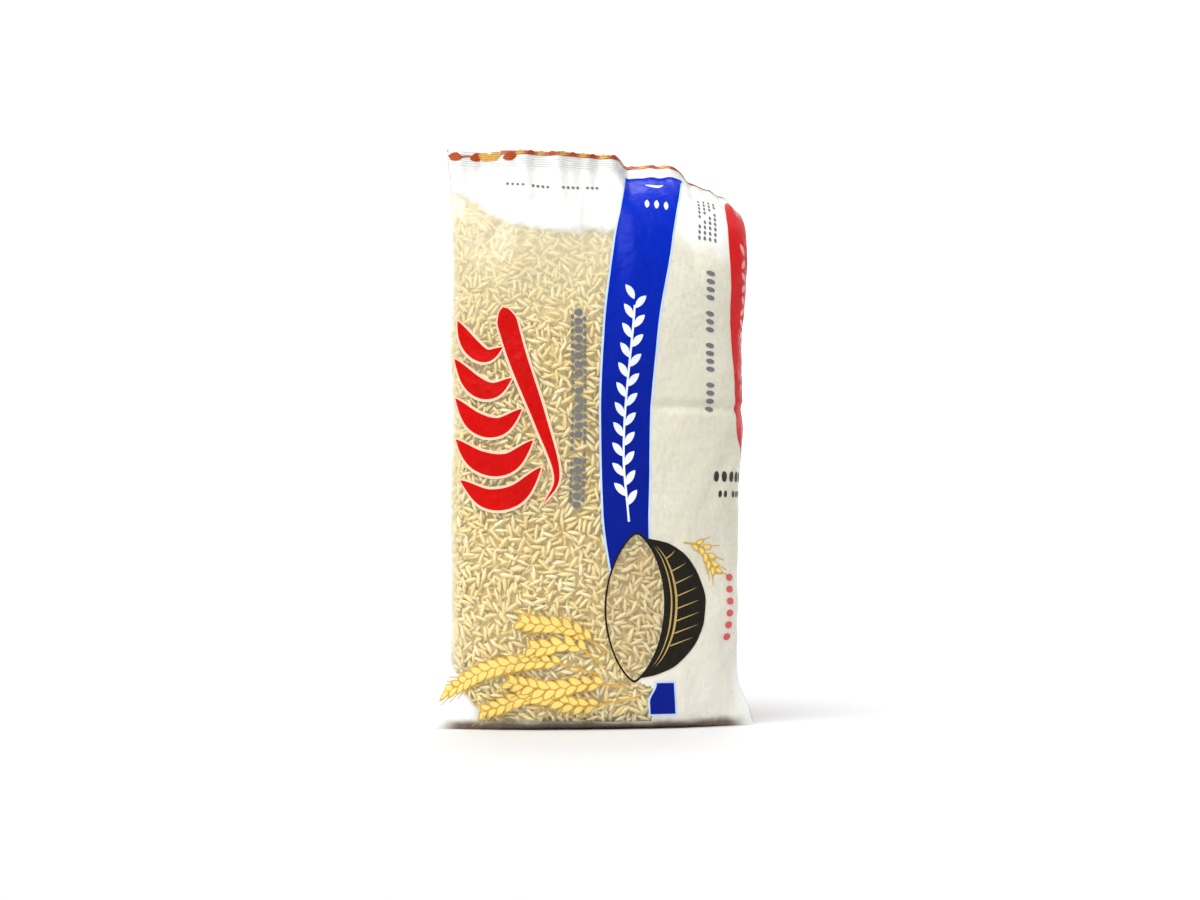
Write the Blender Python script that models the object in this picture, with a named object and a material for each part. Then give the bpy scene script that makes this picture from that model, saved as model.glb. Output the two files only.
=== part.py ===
"""Bag of rice: one sealed pillow pack of film, standing on its folded bottom seal.

Metres, +Z up, front towards -Y. The origin is on the floor under the middle of the bag.
Every height runs along the film, and every place across runs along its girth from the front's middle.
"""

import math

import bmesh
import bpy
import numpy as np

FILM_LENGTH = 0.283
FLAT_WIDTH = 0.161
FIN_THICKNESS = 0.0010
TOP_SEAL_HEIGHT = 0.009

COLUMNS = 68
ROW_STEP = 0.0050
CURL_ROWS = (0.0, 0.0012, 0.0035, 0.0070)
FINE_POINTS = 400

# Half the depth of the filled bag, against height along the film
HALF_DEPTH = (
    (0.0, 0.0160), (0.0012, 0.0180), (0.0035, 0.0197), (0.0070, 0.0209), (0.014, 0.0220), (0.035, 0.0235),
    (0.080, 0.0237), (0.140, 0.0229), (0.190, 0.0210), (0.225, 0.0170), (0.246, 0.0118), (0.260, 0.0066),
    (0.269, 0.0021), (0.274, 0.0), (0.283, 0.0),
)
# Across the bag the depth falls as (1 - x^FULLNESS)^ROUNDNESS: round sides at 0.5, pinched corners above 1
FULLNESS = ((0.0, 3.0), (0.040, 2.6), (0.140, 2.5), (0.230, 2.7), (0.283, 3.4))
ROUNDNESS = (
    (0.0, 1.25), (0.010, 1.05), (0.022, 0.70), (0.040, 0.52), (0.060, 0.5), (0.220, 0.5), (0.247, 0.62),
    (0.264, 0.95), (0.274, 1.0), (0.283, 1.0),
)
# The share of the flat width that the waves of the top seal and the tucks of the base take up
GATHER = (
    (0.0, 0.020), (0.020, 0.018), (0.055, 0.006), (0.110, 0.0), (0.170, 0.002), (0.215, 0.024), (0.250, 0.062),
    (0.268, 0.078), (0.276, 0.062), (0.283, 0.058),
)
# How far each pinched corner of the base sticks out past the filled sides
CORNER_REACH = ((0.0, 0.0036), (0.007, 0.0036), (0.013, 0.0020), (0.024, 0.0), (0.283, 0.0))
# The whole bag stands a little out of true, its top to the right
SIDE_DRIFT = 0.0035

WAVES = ((0.0032, 0.082, 0.9), (0.0011, 0.027, 2.1))
WAVE_START = 0.225

# To the right the top of the bag leans back over its shoulder, in steps: from x, to x, share of the angle
LEAN_ANGLE = math.radians(70.0)
LEAN_STEPS = ((0.007, 0.017, 0.42), (0.032, 0.060, 0.43), (0.062, 0.080, 0.15))
LEAN_START = 0.236
LEAN_BEND = 0.034
LEAN_FORWARD = 0.006
# The right shoulder has also slumped
SLUMP = 0.010
SLUMP_FROM_X, SLUMP_FULL_X = 0.018, 0.078
SLUMP_FROM, SLUMP_FULL = 0.120, 0.262

# Creases in the film: start and end as (across, height), depth, half width
CREASES = (
    ((0.020, 0.156), (0.084, 0.158), 0.0013, 0.0032),
    ((0.078, 0.157), (0.050, 0.104), 0.0009, 0.0045),
    ((-0.079, 0.010), (-0.060, 0.052), 0.0016, 0.0050),
    ((0.079, 0.010), (0.063, 0.048), 0.0016, 0.0050),
    ((0.055, 0.012), (0.044, 0.034), 0.0009, 0.0045),
    ((-0.050, 0.268), (-0.058, 0.226), 0.0010, 0.0045),
    ((0.036, 0.262), (0.050, 0.222), 0.0011, 0.0045),
    ((0.130, 0.060), (0.098, 0.092), 0.0011, 0.0045),
    ((-0.120, 0.180), (-0.090, 0.200), 0.0011, 0.0045),
    ((0.105, 0.215), (0.140, 0.232), 0.0010, 0.0045),
    ((-0.100, 0.070), (-0.135, 0.050), 0.0010, 0.0045),
)
# Broad lumps where the rice has settled: size, wavelength across, wavelength up, phase
LUMPS = ((0.00075, 0.110, 0.094, 0.6), (0.00045, 0.0471, 0.061, 2.4))

# The long seam laid flat on the back, and the bottom seal folded flat under the base
BACK_SEAM_HALF_WIDTH = 0.0060
BACK_SEAM_RISE = 0.0008
BASE_ROWS = (-0.62, -0.38, -0.31, -0.24, 0.24, 0.31, 0.38, 0.62)
BASE_GROOVES = (-0.31, 0.31)
GROOVE_DEPTH = 0.0008

FILM_COLOUR = (0.80, 0.72, 0.52, 1.0)


def clear_scene():
    for thing in list(bpy.data.objects):
        bpy.data.objects.remove(thing)


def smooth(low, high, value):
    """0 below low, 1 above high, with a smooth step between."""
    share = np.clip((value - low) / (high - low), 0.0, 1.0)
    return share * share * (3.0 - 2.0 * share)


def along(stations, height):
    """A value read from its stations at a height, on a curve with level-headed slopes."""
    heights = np.array([s[0] for s in stations])
    values = np.array([s[1] for s in stations])
    steps = np.diff(values) / np.diff(heights)
    slopes = np.zeros(len(values))
    for i in range(1, len(values) - 1):
        if steps[i - 1] * steps[i] > 0.0:
            slopes[i] = 2.0 * steps[i - 1] * steps[i] / (steps[i - 1] + steps[i])
    i = int(np.clip(np.searchsorted(heights, height) - 1, 0, len(steps) - 1))
    span = heights[i + 1] - heights[i]
    t = (height - heights[i]) / span
    return float(
        values[i] * (1 + 2 * t) * (1 - t) ** 2
        + slopes[i] * span * t * (1 - t) ** 2
        + values[i + 1] * t * t * (3 - 2 * t)
        + slopes[i + 1] * span * t * t * (t - 1)
    )


def quarter(half_width, height):
    """A quarter of the section, from the front's middle to the side, as across and depth."""
    turn = np.linspace(0.0, math.pi / 2, FINE_POINTS)
    share = np.sin(turn)
    fall = np.clip(1.0 - share ** along(FULLNESS, height), 0.0, 1.0) ** along(ROUNDNESS, height)
    depth = along(HALF_DEPTH, height) * fall + FIN_THICKNESS / 2 * (1.0 - share**40)
    return half_width * share, depth


def run_length(across, depth):
    """The length along a run of points, from its start to each of them."""
    return np.concatenate([[0.0], np.cumsum(np.hypot(np.diff(across), np.diff(depth)))])


def half_width_at(height):
    """Half the bag's width where the film's girth is twice its flat width."""
    low, high = 0.4 * FLAT_WIDTH, 0.52 * FLAT_WIDTH
    for _ in range(40):
        middle = (low + high) / 2
        if run_length(*quarter(middle, height))[-1] < FLAT_WIDTH / 2:
            low = middle
        else:
            high = middle
    return low


def section(height):
    """The ring at a height: each column's x and y, evenly spaced along the girth from the front's middle."""
    across, depth = quarter(half_width_at(height), height)
    length = run_length(across, depth)
    quarter_columns = COLUMNS // 4
    marks = np.linspace(0.0, length[-1], quarter_columns + 1)
    x = np.interp(marks, length, across) * (1.0 - along(GATHER, height))
    x += along(CORNER_REACH, height) * smooth(0.82, 1.0, x / x[-1])
    y = np.interp(marks, length, depth)
    ring_x = np.concatenate([x[:-1], x[:0:-1], -x[:-1], -x[:0:-1]])
    ring_y = np.concatenate([-y[:-1], y[:0:-1], y[:-1], -y[:0:-1]])
    return ring_x, ring_y


def relief(across, height):
    """How far the film stands out of its plain form: lumps, creases and the back seam, with across in metres."""
    filled = smooth(0.004, 0.030, height) * (1.0 - smooth(0.225, 0.268, height))
    out = np.zeros(len(across))
    for size, wave_across, wave_up, phase in LUMPS:
        turns_across = round(2 * FLAT_WIDTH / wave_across)
        angle = math.pi * across * turns_across / FLAT_WIDTH
        out += size * filled * np.sin(angle + phase) * math.sin(2 * math.pi * height / wave_up + 2 * phase)
    for (x0, z0), (x1, z1), depth, half_width in CREASES:
        run = (x1 - x0) ** 2 + (z1 - z0) ** 2
        share = np.clip(((across - x0) * (x1 - x0) + (height - z0) * (z1 - z0)) / run, 0.0, 1.0)
        away = np.hypot(across - x0 - share * (x1 - x0), height - z0 - share * (z1 - z0))
        ends = np.sin(math.pi * np.clip(share, 0.03, 0.97)) ** 0.5
        out -= depth * ends * np.exp(-((away / half_width) ** 2))
    from_seam = np.abs(np.abs(across) - FLAT_WIDTH)
    seam = 1.0 - smooth(0.7 * BACK_SEAM_HALF_WIDTH, 1.3 * BACK_SEAM_HALF_WIDTH, from_seam)
    seam *= smooth(0.006, 0.016, height) * (1.0 - smooth(0.264, 0.274, height))
    return out + BACK_SEAM_RISE * seam


def wave(x, height):
    """How far the middle of the film swings back or forth near the top seal."""
    swing = sum(size * np.sin(2 * math.pi * x / length + phase) for size, length, phase in WAVES)
    return swing * float(smooth(WAVE_START, FILM_LENGTH - TOP_SEAL_HEIGHT, height)) ** 1.5


def leaned(x, y, height):
    """Points of a ring laid back over the shoulder, as x, y and z."""
    share = sum(part * smooth(start, end, x) for start, end, part in LEAN_STEPS)
    full = LEAN_ANGLE * share
    y = y - LEAN_FORWARD * share * float(smooth(0.19, LEAN_START, height))
    radius = LEAN_BEND / np.maximum(full, 1e-6)
    past = np.clip(height - LEAN_START, 0.0, None)
    bent = np.minimum(past, LEAN_BEND)
    angle = bent / radius
    straight = past - bent
    middle_z = min(height, LEAN_START) + radius * np.sin(angle) + straight * np.cos(full)
    middle_y = radius * (1.0 - np.cos(angle)) + straight * np.sin(full)
    slump = SLUMP * smooth(SLUMP_FROM_X, SLUMP_FULL_X, x) * float(smooth(SLUMP_FROM, SLUMP_FULL, height))
    return x, middle_y + y * np.cos(angle), middle_z - y * np.sin(angle) - slump


def outward(ring_x, ring_y):
    """The ring's outward direction at each column."""
    along_x = np.roll(ring_x, -1) - np.roll(ring_x, 1)
    along_y = np.roll(ring_y, -1) - np.roll(ring_y, 1)
    length = np.maximum(np.hypot(along_x, along_y), 1e-9)
    return along_y / length, -along_x / length


def ring_at(height):
    """One ring of the bag's skin at a height along the film, as an array of points."""
    ring_x, ring_y = section(height)
    column = np.arange(COLUMNS)
    across = np.where(column <= COLUMNS // 2, column, column - COLUMNS) * 2 * FLAT_WIDTH / COLUMNS
    out_x, out_y = outward(ring_x, ring_y)
    raised = relief(across, height)
    # A pinched corner or a fin takes no more relief than its own depth
    room = np.clip((np.abs(ring_y) - 0.0006) / 0.004, 0.0, 1.0)
    round_side = (along(ROUNDNESS, height) < 0.6) * (1.0 - room)
    raised *= np.maximum(room, round_side)
    x = ring_x + out_x * raised + SIDE_DRIFT * (height / FILM_LENGTH - 0.5)
    y = ring_y + out_y * raised + wave(ring_x, height)
    return np.stack(leaned(x, y, height), axis=1)


def row_heights():
    """Heights along the film of every ring, close together where the film curls under and at the fin."""
    fin_root = FILM_LENGTH - TOP_SEAL_HEIGHT
    count = round((fin_root - CURL_ROWS[-1]) / ROW_STEP)
    body = np.linspace(CURL_ROWS[-1], fin_root, count + 1)[1:]
    fin = (fin_root + TOP_SEAL_HEIGHT / 2, FILM_LENGTH)
    return [*CURL_ROWS, *body, *fin]


def bridge_rings(faces, lower, upper):
    for i in range(COLUMNS):
        j = (i + 1) % COLUMNS
        faces.append((lower[i], lower[j], upper[j], upper[i]))


def close_top(faces, ring):
    """The fin's narrow top edge, joined from its front to its back."""
    quarter_columns = COLUMNS // 4
    right, left = quarter_columns, 3 * quarter_columns
    for step in range(1, 2 * quarter_columns):
        front, back = (right - step) % COLUMNS, right + step
        front_before, back_before = (right - step + 1) % COLUMNS, right + step - 1
        if step == 1:
            faces.append((ring[right], ring[back], ring[front]))
        else:
            faces.append((ring[front_before], ring[back_before], ring[back], ring[front]))
    faces.append((ring[left + 1], ring[left - 1], ring[left]))


def close_base(points, faces, ring):
    """The base: level film from front to back, with a groove on each side of the folded seal."""
    quarter_columns = COLUMNS // 4
    right, left = quarter_columns, 3 * quarter_columns
    lines = []
    for step in range(1, 2 * quarter_columns):
        front, back = ring[(right - step) % COLUMNS], ring[right + step]
        start, end = points[front], points[back]
        line = [front]
        for share in BASE_ROWS:
            rise = GROOVE_DEPTH if share in BASE_GROOVES else 0.0
            across = start[0] + (end[0] - start[0]) * (share + 1) / 2
            line.append(len(points))
            points.append((across, start[1] + (end[1] - start[1]) * (share + 1) / 2, rise))
        lines.append([*line, back])
    for line, following in zip(lines, lines[1:]):
        for k in range(len(line) - 1):
            faces.append((line[k], following[k], following[k + 1], line[k + 1]))
    for k in range(len(lines[0]) - 1):
        faces.append((ring[right], lines[0][k], lines[0][k + 1]))
        faces.append((ring[left], lines[-1][k + 1], lines[-1][k]))


def build_bag():
    points, faces, rings = [], [], []
    for height in row_heights():
        rings.append(list(range(len(points), len(points) + COLUMNS)))
        points.extend(map(tuple, ring_at(height)))
    for lower, upper in zip(rings, rings[1:]):
        bridge_rings(faces, lower, upper)
    close_top(faces, rings[-1])
    close_base(points, faces, rings[0])
    points = np.array(points)
    middle = (points.min(axis=0) + points.max(axis=0)) / 2
    points[:, :2] -= middle[:2]
    mesh = bpy.data.meshes.new("rice_bag")
    mesh.from_pydata(points.tolist(), [], faces)
    bag = bpy.data.objects.new("rice_bag", mesh)
    bpy.context.scene.collection.objects.link(bag)
    return bag


def finish_mesh(bag):
    """Makes the faces point outwards, splits them along their shorter diagonals and shades the film smooth."""
    work = bmesh.new()
    work.from_mesh(bag.data)
    bmesh.ops.recalc_face_normals(work, faces=work.faces)
    bmesh.ops.triangulate(work, faces=work.faces, quad_method="SHORT_EDGE")
    work.to_mesh(bag.data)
    work.free()
    bag.data.shade_smooth()
    bag.data.set_sharp_from_angle(angle=math.radians(50.0))


def film_material():
    material = bpy.data.materials.new("printed_film")
    material.use_nodes = True
    surface = material.node_tree.nodes["Principled BSDF"]
    surface.inputs["Base Color"].default_value = FILM_COLOUR
    surface.inputs["Roughness"].default_value = 0.3
    surface.inputs["Metallic"].default_value = 0.0
    return material


def main():
    clear_scene()
    bag = build_bag()
    finish_mesh(bag)
    bag.data.materials.append(film_material())


main()
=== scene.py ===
"""Looks for the bag of rice: clear and printed film over loose grains, with the print laid on the film.

Metres, +Z up, front towards -Y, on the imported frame. Places on the film are given as (across, height):
across runs along the bag's girth from the front's middle, and height runs along the film from the base.
"""

import math
from functools import partial

import bpy
import numpy as np
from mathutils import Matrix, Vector
from mathutils.bvhtree import BVHTree


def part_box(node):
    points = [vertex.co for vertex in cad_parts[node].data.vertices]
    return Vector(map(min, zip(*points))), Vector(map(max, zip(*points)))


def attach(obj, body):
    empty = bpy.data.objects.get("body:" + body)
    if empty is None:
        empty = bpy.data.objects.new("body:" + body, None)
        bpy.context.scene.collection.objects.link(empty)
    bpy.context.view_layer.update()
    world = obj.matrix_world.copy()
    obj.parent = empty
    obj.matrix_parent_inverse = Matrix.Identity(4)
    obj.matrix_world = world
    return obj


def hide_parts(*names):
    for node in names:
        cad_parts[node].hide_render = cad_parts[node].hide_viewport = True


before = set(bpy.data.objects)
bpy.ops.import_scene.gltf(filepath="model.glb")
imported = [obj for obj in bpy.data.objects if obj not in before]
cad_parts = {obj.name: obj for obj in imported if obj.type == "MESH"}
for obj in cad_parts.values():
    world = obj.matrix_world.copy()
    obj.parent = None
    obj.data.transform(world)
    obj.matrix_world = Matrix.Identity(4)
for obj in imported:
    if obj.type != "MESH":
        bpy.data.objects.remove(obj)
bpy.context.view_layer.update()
BAG_LOW, BAG_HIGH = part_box("rice_bag")

# The film's form, as in the solid
FILM_LENGTH = 0.283
FLAT_WIDTH = 0.161
SEAL_GAP = 0.0004
TOP_SEAL_HEIGHT = 0.009
FINE_POINTS = 400
HALF_DEPTH = (
    (0.0, 0.0118), (0.0012, 0.0148), (0.0035, 0.0181), (0.0070, 0.0205), (0.014, 0.0220), (0.035, 0.0235),
    (0.080, 0.0237), (0.140, 0.0229), (0.190, 0.0210), (0.225, 0.0170), (0.246, 0.0118), (0.260, 0.0066),
    (0.269, 0.0021), (0.274, 0.0), (0.283, 0.0),
)
FULLNESS = ((0.0, 3.0), (0.040, 2.6), (0.140, 2.5), (0.230, 2.7), (0.283, 3.4))
ROUNDNESS = (
    (0.0, 1.25), (0.010, 1.05), (0.022, 0.70), (0.040, 0.52), (0.060, 0.5), (0.220, 0.5), (0.247, 0.62),
    (0.264, 0.95), (0.274, 1.0), (0.283, 1.0),
)
ROUND_SIDED = 0.6
GATHER = (
    (0.0, 0.020), (0.020, 0.018), (0.055, 0.006), (0.110, 0.0), (0.170, 0.002), (0.215, 0.024),
    (0.250, 0.062), (0.268, 0.078), (0.276, 0.062), (0.283, 0.058),
)
CORNER_REACH = ((0.0, 0.0036), (0.007, 0.0036), (0.013, 0.0020), (0.024, 0.0), (0.283, 0.0))
SIDE_DRIFT = 0.0035
WAVES = ((0.0032, 0.082, 0.9), (0.0011, 0.027, 2.1))
WAVE_START = 0.225
LEAN_ANGLE = math.radians(70.0)
LEAN_STEPS = ((0.007, 0.017, 0.42), (0.032, 0.060, 0.43), (0.062, 0.080, 0.15))
LEAN_START = 0.236
LEAN_BEND = 0.034
LEAN_FORWARD, LEAN_FORWARD_FROM = 0.006, 0.19
SLUMP = 0.010
SLUMP_FROM_X, SLUMP_FULL_X = 0.018, 0.078
SLUMP_FROM, SLUMP_FULL = 0.120, 0.262
CREASES = (
    ((0.020, 0.156), (0.084, 0.158), 0.0017, 0.0026),
    ((0.078, 0.157), (0.050, 0.104), 0.0009, 0.0045),
    ((-0.079, 0.010), (-0.060, 0.052), 0.0016, 0.0050),
    ((0.079, 0.010), (0.063, 0.048), 0.0016, 0.0050),
    ((0.055, 0.012), (0.044, 0.034), 0.0009, 0.0045),
    ((-0.050, 0.268), (-0.058, 0.226), 0.0010, 0.0045),
    ((0.036, 0.262), (0.050, 0.222), 0.0011, 0.0045),
    ((0.130, 0.060), (0.098, 0.092), 0.0011, 0.0045),
    ((-0.120, 0.180), (-0.090, 0.200), 0.0011, 0.0045),
    ((0.105, 0.215), (0.140, 0.232), 0.0010, 0.0045),
    ((-0.100, 0.070), (-0.135, 0.050), 0.0010, 0.0045),
)
LUMPS = ((0.00075, 0.110, 0.094, 0.6), (0.00045, 0.0471, 0.061, 2.4))
LUMPS_FROM, LUMPS_FULL, LUMPS_FADE, LUMPS_END = 0.004, 0.030, 0.225, 0.268
# Relief needs this much room behind the film to begin, and this much more to be full
RELIEF_ROOM, RELIEF_ROOM_RUN = 0.0006, 0.004

# The film's grid: cells across all of the girth, and rows that are closer together at the base's curl
CELLS_ACROSS = 320
CELL = 2 * FLAT_WIDTH / CELLS_ACROSS
ROWS_UP = 283
CURL_HEIGHTS = (0.0, 0.0006, 0.0012, 0.0020, 0.0030)
FIRST_PLAIN_ROW = 4

# Fine pleats that only the film itself has, over the swings of the seal: size, length, phase
FINE_WAVES = ((0.00075, 0.0153, 0.3), (0.00035, 0.0081, 1.3))
FINE_WAVE_START = 0.246
# Fine folds that only the film itself has: height, then the cell across and up, and its seed
PLEATS = (0.00062, 0.0085, 0.055, 12)
BASE_TUCKS = (0.0006, 0.010, 0.030, 13)
SIDE_WRINKLES = (0.00055, 0.034, 0.0105, 14)
CRUMPLE = (0.00022, 0.027, 0.019, 15)
GRAINY = (0.00010, 0.0062, 0.0052, 16)
FOLD_BEND = (0.012, 0.060, 0.050, 11)
FOLD_REST = 0.35
# Where along the film, and how far from its sides, these folds fade in or out
PLEATS_FADE, TUCKS_FADE, WRINKLES_FADE = (0.205, 0.262), (0.006, 0.034), (0.004, 0.034)
WRINKLE_SLANT = 0.4

# The clear window runs from behind the left side to under the blue band, and from the base to the top seal
WINDOW_FROM = -100 * CELL
WINDOW_LOW, WINDOW_HIGH = 0.0042, FILM_LENGTH - TOP_SEAL_HEIGHT
# Above this line the film is white again, and below the second one at the left corner, both with a soft edge
HEADER_EDGE = (
    (-0.161, 0.240), (-0.100, 0.250), (-0.082, 0.2590), (-0.074, 0.2590), (-0.066, 0.2545), (-0.056, 0.2480),
    (-0.044, 0.2435), (-0.030, 0.2415), (0.161, 0.2400),
)
CORNER_EDGE = (
    (-0.161, 0.010), (-0.100, 0.022), (-0.088, 0.040), (-0.080, 0.038), (-0.072, 0.025), (-0.064, 0.013),
    (-0.056, 0.004), (0.161, 0.0),
)
EDGE_SOFTNESS = 0.0050
RAGGED_EDGE = (0.0020, 0.0060, 0.0050, 21)
# Painted glare on the window's film, whitening it near its top and sides: how strong, and between which
# places it comes in
TOP_GLARE, TOP_GLARE_FADE = 0.50, (0.150, 0.245)
SIDE_GLARE, SIDE_GLARE_FADE = 0.60, (0.062, 0.080)

# The blue band, bowed to the left: its middle and half width, against height
BAND_MIDDLE = (
    (0.0, 0.0320), (0.022, 0.0300), (0.070, 0.0150), (0.106, 0.0110), (0.148, 0.0107), (0.193, 0.0131),
    (0.238, 0.0206), (0.283, 0.0310),
)
BAND_HALF = (
    (0.0, 0.0064), (0.022, 0.0066), (0.070, 0.0094), (0.106, 0.0110), (0.148, 0.0121), (0.193, 0.0131),
    (0.238, 0.0146), (0.283, 0.0152),
)
BAND_LOW, BAND_HIGH = 0.0075, 0.2745
BAND_EDGE = 0.0010
BAND_BREAK_LOW, BAND_BREAK_HIGH = 0.0225, 0.0620
BAND_TUCK = 0.0880
FOOT_CUT, FOOT_CUT_FROM = 0.0045, 0.0130
BACK_BAND_FROM, BACK_BAND_TO = -0.1340, -0.1150
BACK_BAND_LOW, BACK_BAND_HIGH = 0.0080, 0.262
# The window's right edge, against height: beside the band's foot, through the pane, then under the band
WINDOW_RIGHT = ((0.0, 0.0262), (0.0200, 0.0262), (0.0240, 0.0165), (0.0900, 0.0150), *BAND_MIDDLE[3:])

# The leaf-shaped clear pane low on the front
PANE_MIDDLE = (0.0165, 0.0590)
PANE_HALF_WIDTH, PANE_HALF_HEIGHT = 0.0142, 0.0350
PANE_FULLNESS = 0.72
PANE_TOP = PANE_MIDDLE[1] + PANE_HALF_HEIGHT
PANE_EDGE_FADE = (0.96, 1.06)

# How high the rice stands in the bag, against the distance across
RICE_LEVEL = (
    (-0.0805, 0.2640), (-0.062, 0.2570), (-0.044, 0.2500), (-0.020, 0.2480), (0.030, 0.2450),
    (0.0805, 0.2380),
)
RICE_CROWN = 0.008
RICE_LOW = 0.0032
# The filled body counts as this roomy right round its sides, from and up to where it rounds off
BODY_ROOM, BODY_FROM, BODY_TO = 0.012, (0.026, 0.040), (0.243, 0.250)
# Rice comes to press on the film over this much room, and stops doing so round its level
BACKED_ROOM, BACKED_FADE = (0.0008, 0.0075), (-0.010, 0.004)


def smooth(low, high, value):
    """0 below low, 1 above high, with a smooth step between."""
    share = np.clip((value - low) / (high - low), 0.0, 1.0)
    return share * share * (3.0 - 2.0 * share)


def straight(stations, place):
    """Values read from their stations, along straight lines between them."""
    places, values = zip(*stations)
    return np.interp(place, places, values)


def along(stations, height):
    """A value read from its stations at a height, on a curve with level-headed slopes."""
    heights = np.array([s[0] for s in stations])
    values = np.array([s[1] for s in stations])
    steps = np.diff(values) / np.diff(heights)
    slopes = np.zeros(len(values))
    for i in range(1, len(values) - 1):
        if steps[i - 1] * steps[i] > 0.0:
            slopes[i] = 2.0 * steps[i - 1] * steps[i] / (steps[i - 1] + steps[i])
    i = int(np.clip(np.searchsorted(heights, height) - 1, 0, len(steps) - 1))
    span = heights[i + 1] - heights[i]
    t = (height - heights[i]) / span
    return float(
        values[i] * (1 + 2 * t) * (1 - t) ** 2
        + slopes[i] * span * t * (1 - t) ** 2
        + values[i + 1] * t * t * (3 - 2 * t)
        + slopes[i + 1] * span * t * t * (t - 1)
    )


def quarter(half_width, height):
    """A quarter of the section, from the front's middle to the side, as across and depth."""
    turn = np.linspace(0.0, math.pi / 2, FINE_POINTS)
    share = np.sin(turn)
    fall = np.clip(1.0 - share ** along(FULLNESS, height), 0.0, 1.0) ** along(ROUNDNESS, height)
    depth = along(HALF_DEPTH, height) * fall + SEAL_GAP / 2 * (1.0 - share**40)
    return half_width * share, depth


def run_length(across, depth):
    """The length along a run of points, from its start to each of them."""
    return np.concatenate([[0.0], np.cumsum(np.hypot(np.diff(across), np.diff(depth)))])


def half_width_at(height):
    """Half the bag's width where the film's girth is twice its flat width."""
    low, high = 0.4 * FLAT_WIDTH, 0.52 * FLAT_WIDTH
    for _ in range(40):
        middle = (low + high) / 2
        if run_length(*quarter(middle, height))[-1] < FLAT_WIDTH / 2:
            low = middle
        else:
            high = middle
    return low


def section(across, height):
    """The plain section's x and y at places across the girth."""
    run_x, run_y = quarter(half_width_at(height), height)
    length = run_length(run_x, run_y)
    from_middle = np.abs(across)
    on_back = from_middle > FLAT_WIDTH / 2
    place = np.where(on_back, FLAT_WIDTH - from_middle, from_middle) * length[-1] / (FLAT_WIDTH / 2)
    gathered = 1.0 - along(GATHER, height)
    x = np.interp(place, length, run_x) * gathered
    x += along(CORNER_REACH, height) * smooth(0.82, 1.0, x / (run_x[-1] * gathered))
    y = np.interp(place, length, run_y)
    return np.sign(across) * x, np.where(on_back, y, -y)


def lumps_and_creases(across, height):
    """How far the film stands out of its plain form, over the whole grid."""
    filled = smooth(LUMPS_FROM, LUMPS_FULL, height) * (1.0 - smooth(LUMPS_FADE, LUMPS_END, height))
    out = np.zeros_like(across)
    for size, wave_across, wave_up, phase in LUMPS:
        turns_across = round(2 * FLAT_WIDTH / wave_across)
        angle = math.pi * across * turns_across / FLAT_WIDTH
        out += size * filled * np.sin(angle + phase) * np.sin(2 * math.pi * height / wave_up + 2 * phase)
    for (x0, z0), (x1, z1), depth, half_width in CREASES:
        run = (x1 - x0) ** 2 + (z1 - z0) ** 2
        share = np.clip(((across - x0) * (x1 - x0) + (height - z0) * (z1 - z0)) / run, 0.0, 1.0)
        away = np.hypot(across - x0 - share * (x1 - x0), height - z0 - share * (z1 - z0))
        ends = np.sin(math.pi * np.clip(share, 0.03, 0.97)) ** 0.5
        out -= depth * ends * np.exp(-((away / half_width) ** 2))
    return out


def soft_noise(across, height, size_across, size_up, seed):
    """Smooth noise from -1 to 1 that closes on itself round the girth, in cells of the given size."""
    columns = max(2, round(2 * FLAT_WIDTH / size_across))
    rows = math.ceil(FILM_LENGTH / size_up) + 3
    lattice = np.random.default_rng(seed).uniform(-1.0, 1.0, (rows, columns))
    u = (across + FLAT_WIDTH) / (2 * FLAT_WIDTH) * columns
    v = np.clip(height / size_up, 0.0, rows - 2.001)
    i, j = np.floor(u).astype(int), np.floor(v).astype(int)
    s, t = u - i, v - j
    s, t = s * s * (3 - 2 * s), t * t * (3 - 2 * t)
    left, right = i % columns, (i + 1) % columns
    low = lattice[j, left] * (1 - s) + lattice[j, right] * s
    high = lattice[j + 1, left] * (1 - s) + lattice[j + 1, right] * s
    return low * (1 - t) + high * t


def uneven(kind, across, height):
    """Soft noise of a given kind, in metres."""
    size, *cell_and_seed = kind
    return size * soft_noise(across, height, *cell_and_seed)


def folded(kind, across, height):
    """Sharp-backed folds of a given kind, as crumpled film has, in metres from where the film rests."""
    size, *cell_and_seed = kind
    folds = (1.0 - np.abs(soft_noise(across, height, *cell_and_seed))) ** 3
    return size * (folds - FOLD_REST)


def crinkles(across, height):
    """The film's own fine folds: pleats under the top seal, wrinkles along the sides and a light crumple."""
    bent = across + uneven(FOLD_BEND, across, height)
    from_side = np.abs(np.abs(across) - FLAT_WIDTH / 2)
    near_seal = smooth(*PLEATS_FADE, height)
    near_base = 1.0 - smooth(*TUCKS_FADE, height)
    near_side = 1.0 - smooth(*WRINKLES_FADE, from_side)
    out = near_seal * folded(PLEATS, bent, height)
    out += near_base * folded(BASE_TUCKS, bent, height)
    out += near_side * folded(SIDE_WRINKLES, across, height + WRINKLE_SLANT * from_side)
    out += folded(CRUMPLE, bent, height)
    return out + uneven(GRAINY, across, height)


def swing(waves, x):
    """Waves along the bag's width, summed."""
    return sum(size * np.sin(2 * math.pi * x / length + phase) for size, length, phase in waves)


def wave(x, height):
    """How far the middle of the film swings back or forth near the top seal."""
    seal_root = FILM_LENGTH - TOP_SEAL_HEIGHT
    broad = swing(WAVES, x) * float(smooth(WAVE_START, seal_root, height)) ** 1.5
    return broad + swing(FINE_WAVES, x) * float(smooth(FINE_WAVE_START, seal_root, height))


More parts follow.
